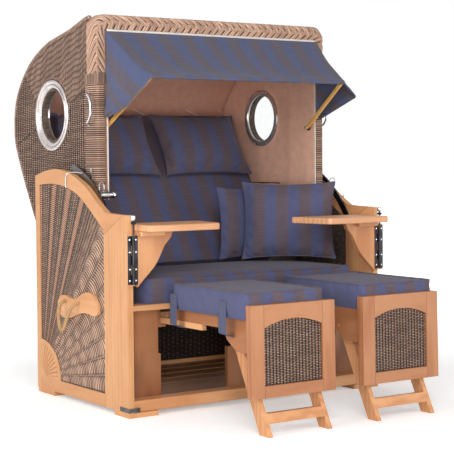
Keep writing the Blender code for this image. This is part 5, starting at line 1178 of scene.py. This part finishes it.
def awning():
    """Top columns run from the border's edge to the bar as a line that sags by four times t times one less t
    and go half round the bar. Flap columns start down the post and end on the flap's free edge."""
    attach_y, bar_end_x, bar_top = hood_front - 0.0022, bar_half + 0.0087, bar_z + 0.0085
    post_x, top_z, flap_low = opening_half + 0.005, opening_top + 0.005, 1.183
    flap, top = top_z - flap_low, 2 * post_x
    cols, rows = 170, 36
    along = np.linspace(0.012, 2 * flap + top - 0.012, cols + 1)
    left = along < flap
    share = np.where(left, along / flap, np.where(along > flap + top, (2 * flap + top - along) / flap, 1.0))
    middle = np.clip((along - flap) / top, 0, 1) * 2 - 1
    sign = np.where(middle < 0, -1.0, 1.0)
    start = np.stack([post_x * middle, np.full(cols + 1, attach_y), flap_low + flap * share], -1)
    edge = free_edge(np.array([post_x, attach_y, flap_low]), np.array([bar_end_x, bar_y - 0.006, bar_z - 0.002]),
                     share, left)
    edge[:, 0] *= sign
    bar_end = np.stack([bar_end_x * middle, np.full(cols + 1, bar_y), np.full(cols + 1, bar_top)], -1)
    on_top = (share >= 1.0)[:, None]
    end = np.where(on_top, bar_end, edge)
    t = np.linspace(0, 1, rows + 1)[None, :]
    grid = start[:, None, :] * (1 - t[..., None]) + end[:, None, :] * t[..., None]
    belly = 4 * t * (1 - t)
    u, loose = along[:, None] - flap, (1 - share)[:, None]
    hip = bell(np.minimum(np.abs(u), np.abs(u - top)), 0, 0.11)
    size = np.clip(np.linalg.norm(end - start, axis=1)[:, None] / 0.33, 0, 1) ** 1.5
    grid[..., 2] -= (0.034 - 0.022 * hip) * belly * size * np.where(on_top, 1.0, 0.75)
    grid[..., 2] += np.sin(2 * np.pi * u / 0.165 + 1.9 * t + 0.7 * np.sin(u * 6)) * 0.0040 * belly * t * on_top
    grid[..., 2] += 0.0045 * np.sin(u * 31 + 6 * t) * hip * belly
    ripple = np.abs(0.006 * np.sin(2 * np.pi * (t * 1.3 + loose * 1.5)) * belly)
    grid[..., 0] += sign[:, None] * (0.012 * belly * np.sqrt(np.clip(loose, 0, 1)) + ripple * loose ** 0.5)
    angle = np.radians(np.array([25, 50, 75, 100, 125, 150, 170]))
    around = np.repeat(grid[:, -1:, :], len(angle), axis=1)
    around[..., 1] -= 0.0088 * np.sin(angle) * on_top
    around[..., 2] -= np.where(on_top, 0.0088 * (1 - np.cos(angle)), np.linspace(0.001, 0.007, 7))
    grid = np.concatenate([grid, around], axis=1)
    down = np.cumsum(np.linalg.norm(np.diff(grid, axis=1), axis=-1), axis=1)
    run = np.concatenate([np.zeros((cols + 1, 1)), down], axis=1)
    uv = np.stack([np.broadcast_to(along[:, None], run.shape), run], -1).reshape(-1, 2)
    points, faces = sheet_shell(grid, 0.0016)
    near = np.abs(points[:, 1] - attach_y) < 0.002
    points[near, 1] = np.minimum(points[near, 1], hood_front - 0.0006)
    piece = make("awning_sheet", points, faces, awning_material, uv=np.vstack([uv, uv]))
    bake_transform(piece)
    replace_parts(piece, "awning_cloth")


def lath(name, start, end, width, thick):
    """A flat bar between two points with its wide face to the side and rounded ends: a ruled oblong section."""
    start, end = np.asarray(start, float), np.asarray(end, float)
    size = float(np.linalg.norm(end - start))
    way = (end - start) / size
    flat = np.cross(way, x_way)
    flat /= np.linalg.norm(flat)
    share = np.concatenate([[0.0, 0.004, 0.012], np.linspace(0.03, 0.97, 12), [0.988, 0.996, 1.0]])[:, None, None]
    taper = np.sqrt(np.clip(1 - (np.maximum(np.abs(share - 0.5) * 2 - 0.94, 0) / 0.0602) ** 2, 0.04, 1))
    corner = np.radians(np.arange(0, 360, 22.5) + 11.25)
    cos, sin = (np.sign(at)[:, None] * np.abs(at)[:, None] ** 0.5 for at in (np.cos(corner), np.sin(corner)))
    rings = start + way * share * size + flat * cos * width / 2 * taper + np.cross(flat, way) * sin * thick / 2
    return make(name, *capped(rings, start, end), timber_gold, "awning_frame")


rod("awning_bar", even([(-bar_half, bar_y, bar_z), (bar_half, bar_y, bar_z)], 30), 0.0065, 14, timber_gold,
    "awning_frame")
awning()
for tag, side in both_sides:
    strut = lath(f"awning_strut_{tag}", (side * foot_half, bow_y + 0.004, bow_z - 0.003),
                 (side * (bar_half + 0.001), bar_y + 0.002, bar_z), 0.019, 0.008)
    if side < 0:
        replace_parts(strut, "awning_bow")
    for name, places, radius, sides, mat in (
            ("strut_pin", (foot_half - 0.012, foot_half - 0.009, opening_half + 0.016), 0.0055, 14, bright_steel),
            ("strut_washer", (foot_half + 0.005, foot_half + 0.0075), 0.013, 18, black_steel)):
        rod(f"{name}_{tag}", [(side * x, bow_y, bow_z) for x in places], radius, sides, mat, "awning_frame")


# Lining: two side panels and one long panel over roof and back, each a thin sheet with soft puckers
def lining_long(inner, half=0.5425, cols=61):
    """The long panel follows the roof line moved inwards, with waves across it that grow to its lower end."""
    x, share = np.linspace(-half, half, cols), np.linspace(0, 1, len(inner))
    gather = bell(share, 1, 0.05)[:, None]
    wave = 0.0022 * np.sin(x * 55 + 2 * np.sin(x * 9)) * (0.25 + gather * 1.6) - 0.0022
    dip = wave[..., None] * np.gradient(inner, axis=0)[:, None, ::-1] / 0.013 * [1.0, -1.0] * 0.5
    grid = np.concatenate([np.broadcast_to(x[:, None], (*wave.shape, 1)), inner[:, None, :] + dip], -1)
    uv = np.stack(np.meshgrid(run_along(inner), x, indexing="ij"), -1)
    panel = cloth_sheet("lining_long", grid, uv, 0.0024, lining_material, "hood")
    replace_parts(panel, "hood_lining")


def lining_side(tag, side, inner, front, low=0.888, cell=0.006):
    """A flat side panel with folds that run down, a rolled hem below and a seam to the long panel."""
    outline = np.vstack([[(front, opening_top - 0.003)], inner, [(front, low)]])
    y = np.arange(front, inner[:, 0].max() + cell, cell)
    z = np.arange(low - 0.004, inner[:, 1].max() + cell, cell)
    wide, high = np.meshgrid(y, z, indexing="ij")
    fold = (np.sin(wide * 42 + 3 * np.sin(wide * 7)) * 0.5 + 0.5) ** 3
    bump = 0.0010 + 0.0050 * fold * (0.25 + 0.25 * bell(high, low, 0.05)) * np.clip((high - 0.880) / 0.01, 0.2, 1)
    bump = bump + 0.0050 * bell(from_porthole(wide, high), 0.134, 0.006)
    bump = bump * np.clip(rim_distance(outline, wide, high) / 0.012, 0.1, 1)
    middles = cell_middles(wide, high)
    keep = inside(outline, *middles) & (from_porthole(*middles) > 0.126)

    def place(a, b, level):
        near_post = 1 / (1 + np.exp((a - hood_front - 0.205) / 0.010))
        return np.stack([side * (0.5420 - 0.0052 * near_post - level), a, b], axis=-1)

    points, faces, fit, _ = slab(y, z, place, bump, -0.0015, keep)
    panel = make(f"lining_side_{tag}", points, faces, lining_side_painted_light, "hood",
                 uv=np.stack([wide.ravel()[fit], high.ravel()[fit]], 1))
    hem = [(side * 0.5350, a, low + 0.0015 * math.sin(a * 50))
           for a in np.linspace(front + 0.004, 0.52 + forward, 50)]
    rod(f"lining_hem_{tag}", hem, 0.0042, 8, lining_material, "hood", [1, 2])
    rod(f"lining_seam_{tag}", [(side * 0.5385, a, b) for a, b in even(inner[2:], 80)], 0.0035, 8, lining_material,
        "hood", [1, 2])


inner = roof + outward_normals(roof, -1) * 0.0372
inner = even(inner[(inner[:, 0] > hood_front + 0.0940) & (inner[:, 1] > 0.885)], 90)
lining_long(inner)
for tag, side in both_sides:
    lining_side(tag, side, inner, hood_front + 0.0040)
for tag, side in both_sides:
    piping = [(side * (opening_half - 0.0022), hood_front + 0.001, z)
              for z in np.linspace(0.846, opening_top - 0.004, 40)]
    rod(f"post_piping_{tag}", piping, 0.0030, 8, piping_material, "hood", [1, 2])
welt = [(x, hood_front - 0.0035, opening_top + 0.0065) for x in np.linspace(-opening_half, opening_half, 60)]
rod("awning_top_welt", welt, 0.0050, 8, piping_material, "hood", [0, 2])


# Portholes: a turned ring of stepped profile through the wall, eight cap nuts and a clear pane near the inside
def turned(name, side, profile, mat, replaced, count=96, dark=()):
    """A ring turned about the X direction: each (radius, place along X) of the closed profile goes round."""
    angle = np.linspace(0, 2 * np.pi, count, endpoint=False)[:, None]
    radius, level = np.asarray(profile, float).T
    points = np.stack([side * level + 0 * angle, porthole[0] + np.cos(angle) * radius,
                       porthole[1] + np.sin(angle) * radius], -1).reshape(-1, 3)
    groove_shade = np.zeros(len(profile))
    groove_shade[list(dark)] = 0.85
    piece = make(name, points, grid_faces(count, len(profile), wrap_rows=True, wrap_cols=True), mat, "hood",
                 marks={"groove_shade": np.tile(groove_shade, count)})
    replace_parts(piece, replaced)


ring_corners = [(0.1500, 0.5740), (0.1540, 0.5765), (0.1535, 0.5820), (0.1500, 0.5852), (0.1440, 0.5855),
                (0.1400, 0.5835), (0.1375, 0.5800), (0.1345, 0.5800), (0.1325, 0.5838), (0.1290, 0.5846),
                (0.1240, 0.5830), (0.1180, 0.5760), (0.1150, 0.5705), (0.1142, 0.5680), (0.1162, 0.5670),
                (0.1160, 0.5645), (0.1128, 0.5635), (0.1125, 0.5590), (0.1142, 0.5580), (0.1140, 0.5550),
                (0.1112, 0.5540), (0.1105, 0.5500),
                (0.1098, 0.5480), (0.1090, 0.5400), (0.1085, 0.5370), (0.1090, 0.5325), (0.1120, 0.5300),
                (0.1180, 0.5298), (0.1250, 0.5310), (0.1330, 0.5325), (0.1345, 0.5350), (0.1330, 0.5385),
                (0.1260, 0.5400), (0.1200, 0.5440), (0.1200, 0.5700)]
pane_corners = [(0.0004, 0.5455), (0.1095, 0.5450), (0.1100, 0.5465), (0.1095, 0.5480), (0.0004, 0.5475)]
for tag, side in both_sides:
    # The listed dark profile points get painted shade and painted dark reflections in the ring's grooves and steps
    turned(f"porthole_turned_{tag}", side, ring_corners, turned_steel, f"porthole_ring_{tag}",
           dark=(0, 7, 14, 18, 21, 30, 32))
    turned(f"porthole_glass_{tag}", side, pane_corners, clear_glass, f"porthole_pane_{tag}", 64)
    for number in range(8):
        turn = math.radians(22.5 + 45 * number)
        for end, level, out, radius in (("o", 0.5844, 0.0034, 0.1470), ("i", 0.5306, -0.0036, 0.1285)):
            y, z = porthole[0] + radius * math.cos(turn), porthole[1] + radius * math.sin(turn)
            rod(f"porthole_nut_{tag}_{number}_{end}", [(side * (level + out * s), y, z) for s in (0, 0.55, 1)],
                (0.0042, 0.0040, 0.0024), 10, satin_steel, "hood")

# Hand ropes: three strands twisted round each other in every loop
rope_way = [(0, 0, 0), (0.0139, 0, 0), (0.0319, 0.002, -0.0045), (0.0479, 0.009, -0.0245), (0.0569, 0.021, -0.0625),
            (0.0599, 0.039, -0.1005), (0.0604, 0.059, -0.1145), (0.0599, 0.079, -0.1005), (0.0569, 0.096, -0.0625),
            (0.0479, 0.107, -0.0245), (0.0319, 0.114, -0.0045), (0.0139, 0.116, 0), (0, 0.116, 0)]


def twisted_rope(tag, side):
    """Each section is a trefoil: the radius times 0.76 plus 0.24 of the size of the cosine of one and a half
    turns, which goes round once in every lay."""
    lay, sides = 0.0125, 30
    path = through([(side * (0.6301 + x), 0.007 + forward + y, 0.4205 + z) for x, y, z in rope_way], 10)
    length = float(run_along(path)[-1])
    line = even(path, int(length / 0.0016))
    run, angle = np.linspace(0, length, len(line))[:, None], np.linspace(0, 2 * np.pi, sides, endpoint=False)

    def strand(along, turn):
        return np.abs(np.cos(1.5 * turn + np.pi * along / lay))

    points, faces = tube(line, 0.0080, sides, lambda along, turn: 0.76 + 0.24 * strand(along, turn))
    spin = np.append((angle / (2 * np.pi) * 9 + run / lay * 3).ravel(), [0.0, 0.0])
    piece = make(f"hand_rope_{tag}", points, faces, rope_fibre, "base", uv=np.stack([spin, spin * 0], 1),
                 marks={"groove_shade": np.append(strand(run, angle).ravel(), [1.0, 1.0])})
    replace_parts(piece, f"rope_{tag}")


for tag, side in both_sides:
    twisted_rope(tag, side)

# White ties that hold the head pillows to the lining
for number, x in enumerate((-0.470, -0.285, -0.025, 0.270, 0.455)):
    start = plane + slope * 0.374 + toward * 0.006
    end = plane + slope * 0.322 + toward * 0.050
    tie = through([start + [x - 0.012, 0, 0.010], start + [x - 0.004, -0.004, 0.002], end + [x + 0.010, 0, 0]], 6)
    rod(f"pillow_tie_{number}", tie, 0.0017, 6, piping_material, "hood", [0, 1])


# Small hardware: hinge screws and caps, bracket rings, knobs, grab bows, bent rods, frame screws, table battens
def screw(name, place, way, radius, mat, body, height=0.0022):
    """A domed screw head: a short tube whose radius falls away as the root of a circle."""
    place, way = np.asarray(place, float), np.asarray(way, float)
    points, faces = tube([place + way * height * s for s in (0, 0.35, 0.75, 0.95, 1.0, 1.02)],
                         radius * np.array([1.0, 0.98, 0.82, 0.50, 0.30, 0.12]), 14)
    make(name, points, faces, mat, body, slot="polished_steel")


lock_y, lock_z, hinge_x, hinge_y, grab_y = 0.0254, 0.867, 0.622, -0.281, 0.1320
for tag, side in both_sides:
    for number, z in enumerate((0.541, 0.585, 0.652, 0.700)):
        screw(f"hinge_screw_{tag}_{number}a", (side * 0.6355, -0.2763, z), (0, -1, 0), 0.0046, bright_steel, "base")
        screw(f"hinge_screw_{tag}_{number}b", (side * 0.6085, -0.2760, z), (0, -1, 0), 0.0046, bright_steel,
              f"table_{tag}")
    rod(f"hinge_cap_{tag}", [(side * hinge_x, hinge_y, z) for z in (0.7745, 0.776, 0.790, 0.7945, 0.7955)],
        (0.0080, 0.0092, 0.0092, 0.0070, 0.0030), 20, bright_steel, "base")
    rod(f"hinge_collar_{tag}", [(side * hinge_x, hinge_y, z) for z in (0.7600, 0.7615, 0.7690, 0.7705)],
        (0.0072, 0.0098, 0.0098, 0.0072), 20, black_steel, "base")
    turn, sides = np.linspace(0, 2 * np.pi, 60), 8
    loop = np.stack([side * (0.5957 + 0.0006 * np.sin(turn * 3)), lock_y - 0.010 + 0.0210 * np.cos(turn),
                     lock_z + 0.030 + 0.0230 * np.sin(turn)], axis=1)
    make(f"bracket_ring_{tag}", tube(loop, 0.0017, sides)[0][:59 * sides],
         grid_faces(59, sides, wrap_rows=True, wrap_cols=True), bright_steel, "hood")
    rod(f"pull_knob_{tag}", [(side * x, lock_y, lock_z) for x in (0.5420, 0.5415, 0.5330, 0.5290, 0.5280)],
        (0.0040, 0.0125, 0.0140, 0.0120, 0.0050), 22, bright_steel, f"lock_{tag}")
    sweep = np.linspace(0, np.pi, 60)
    bow = np.stack([side * (0.5886 + 0.0232 * np.clip(2.4 * np.sin(sweep), 0, 1) ** 0.8),
                    grab_y - 0.0590 * np.sin(sweep) ** 0.75, 1.2200 - 0.0620 * np.cos(sweep)], 1)
    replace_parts(rod(f"grab_bow_{tag}", bow, 0.0050, 14, bright_steel, "hood"), f"grab_handle_{tag}")
    for number, z in enumerate((1.1580, 1.2820)):
        rod(f"grab_foot_{tag}_{number}", [(side * x, grab_y, z) for x in (0.5874, 0.5884, 0.5906, 0.5912)],
            (0.0080, 0.0090, 0.0082, 0.0050), 18, bright_steel, "hood")
    bent = through([(side * x, y + forward, z) for x, y, z in (
        (0.6352, 0.122, 0.893), (0.6372, 0.121, 0.920), (0.6365, 0.116, 0.946), (0.6290, 0.105, 0.9575),
        (0.6180, 0.070, 0.9590), (0.6085, 0.025, 0.9560))], 8)
    rod(f"bent_rod_{tag}", bent, 0.0029, 12, bright_steel, "base")
    for number, (y, z) in enumerate(((-0.148, 0.849), (-0.204, 0.802))):
        screw(f"rail_screw_{tag}_{number}", (side * 0.6330, y + forward, z - 0.012), (side, 0, 0), 0.0040,
              satin_steel, "base")
    board(f"table_batten_{tag}", (side * 0.5985, -0.302, 0.7125), (side * 0.4900, -0.2235, 0.7319), timber_x,
          f"table_{tag}", 0.0030)
    for number, x in enumerate((0.593, 0.603, 0.613, 0.624)):
        screw(f"strap_screw_{tag}_{number}", (side * x, -0.2552, 0.031), (0, -1, 0), 0.0030, black_steel, "base",
              height=0.0014)

# Carried-over solids: each gets the timber or steel of the real one
dress(timber_x, "front_crossbar", "seat_front_rail", "back_board")
dress(timber_painted_shade_deck, "floor_deck", "seat_deck")
dress(timber_painted_shade_board, "front_boards")
dress(timber_gold, "awning_bow")
for tag, side in both_sides:
    for mat, *names in ((timber_z, "leg_frame", "table_bracket"), (timber_side, "side_frame"),
                        (timber_rest, "footrest_frame"), (timber_top, "table_top"),
                        (timber_y, "footrest_runner", "handle_block"), (bright_steel, "lock_pin"),
                        (satin_steel, "lock_bracket"), (steel_painted_shade_reflection, "corner_strap", "lock_rail"),
                        (black_steel, "hinge_fixed", "hinge_moving")):
        dress(mat, *(f"{name}_{tag}" for name in names))

# Camera fitted to the photograph, 454 by 454
yaw, pitch, roll = math.radians(34.132), math.radians(2.0885), math.radians(-0.4679)
ahead = Vector((math.sin(yaw) * math.cos(pitch), math.cos(yaw) * math.cos(pitch), -math.sin(pitch)))
right = Vector((math.cos(yaw), -math.sin(yaw), 0.0))
up = right.cross(ahead)
lens = bpy.data.cameras.new("photo_camera")
lens.sensor_width, lens.lens = 36.0, 106.50
lens.shift_x, lens.shift_y = -0.0031, -0.0419
camera = bpy.data.objects.new("photo_camera", lens)
pose = Matrix((right * math.cos(roll) + up * math.sin(roll), up * math.cos(roll) - right * math.sin(roll),
               -ahead)).transposed().to_4x4()
pose.translation = Vector((-3.22458, -4.77643, 1.00958))
camera.matrix_world = pose
bpy.context.scene.collection.objects.link(camera)
bpy.context.scene.camera = camera


# Floor, soft lights and a white surround
def seen_share(kit):
    """1 for rays from the camera, mirrors and clear panes, 0 for the light that falls on surfaces."""
    rays = kit.add("LightPath").outputs
    return kit.maths("MAXIMUM", rays["Is Camera Ray"],
                     kit.maths("MAXIMUM", rays["Is Glossy Ray"], rays["Is Transmission Ray"]))


def stage_floor():
    """A pale floor that glows up to white away from the chair, and keeps its shadow near it."""
    mesh = bpy.data.meshes.new("studio_floor")
    mesh.from_pydata([(-40, -40, 0), (40, -40, 0), (40, 40, 0), (-40, 40, 0)], [], [(0, 1, 2, 3)])
    mat, kit, shader = finish("studio_floor", roughness=0.9, specular=0.1)
    soft = kit.noise(kit.place(), 3.0, 2.0)
    away = kit.add("VectorMath", {0: kit.place()}, operation="LENGTH").outputs["Value"]
    glow = kit.add("MapRange", {"Value": away, "From Min": 1.2, "From Max": 3.4, "To Min": 0.34,
                                "To Max": 1.0}).outputs[0]
    shader.inputs["Emission Color"].default_value = (1.0, 1.0, 1.0, 1.0)
    kit.send(shader.inputs, {"Base Color": kit.mix(soft, (0.93, 0.93, 0.93, 1.0), (0.97, 0.97, 0.97, 1.0)),
                             "Emission Strength": kit.times(seen_share(kit), glow)})
    mesh.materials.append(mat)
    floor = bpy.data.objects.new("studio_floor", mesh)
    bpy.context.scene.collection.objects.link(floor)


def lamp(name, place, aim, size, power):
    light = bpy.data.lights.new(name, "AREA")
    light.shape, light.size, light.energy = "SQUARE", size, power
    obj = bpy.data.objects.new(name, light)
    obj.location = place
    obj.rotation_euler = (Vector(aim) - Vector(place)).to_track_quat("-Z", "Y").to_euler()
    bpy.context.scene.collection.objects.link(obj)


stage_floor()
lamp("key", (-2.6, -4.6, 3.2), (0.0, 0.0, 0.7), 2.2, 124)
lamp("side", (-5.0, -0.4, 2.2), (0.0, 0.2, 0.7), 2.6, 105)
lamp("fill", (2.6, -4.6, 1.3), (0.1, 0.0, 0.9), 2.6, 64)
lamp("low", (-2.7, -3.9, 0.80), (0.4, 0.3, 1.20), 1.4, 66)
lamp("back", (1.5, 4.5, 3.2), (0.0, 0.2, 0.9), 3.0, 60)
world = bpy.data.worlds.new("surround")
world.use_nodes = True
bpy.context.scene.world = world
kit, ground = Nodes(world.node_tree), world.node_tree.nodes["Background"].inputs
kit.send(ground, {"Strength": kit.add("MapRange", {"Value": seen_share(kit), "To Min": 0.29,
                                                   "To Max": 1.0}).outputs[0]})
ground["Color"].default_value = (1.0, 1.0, 1.0, 1.0)
bpy.context.scene.view_settings.view_transform = "Standard"
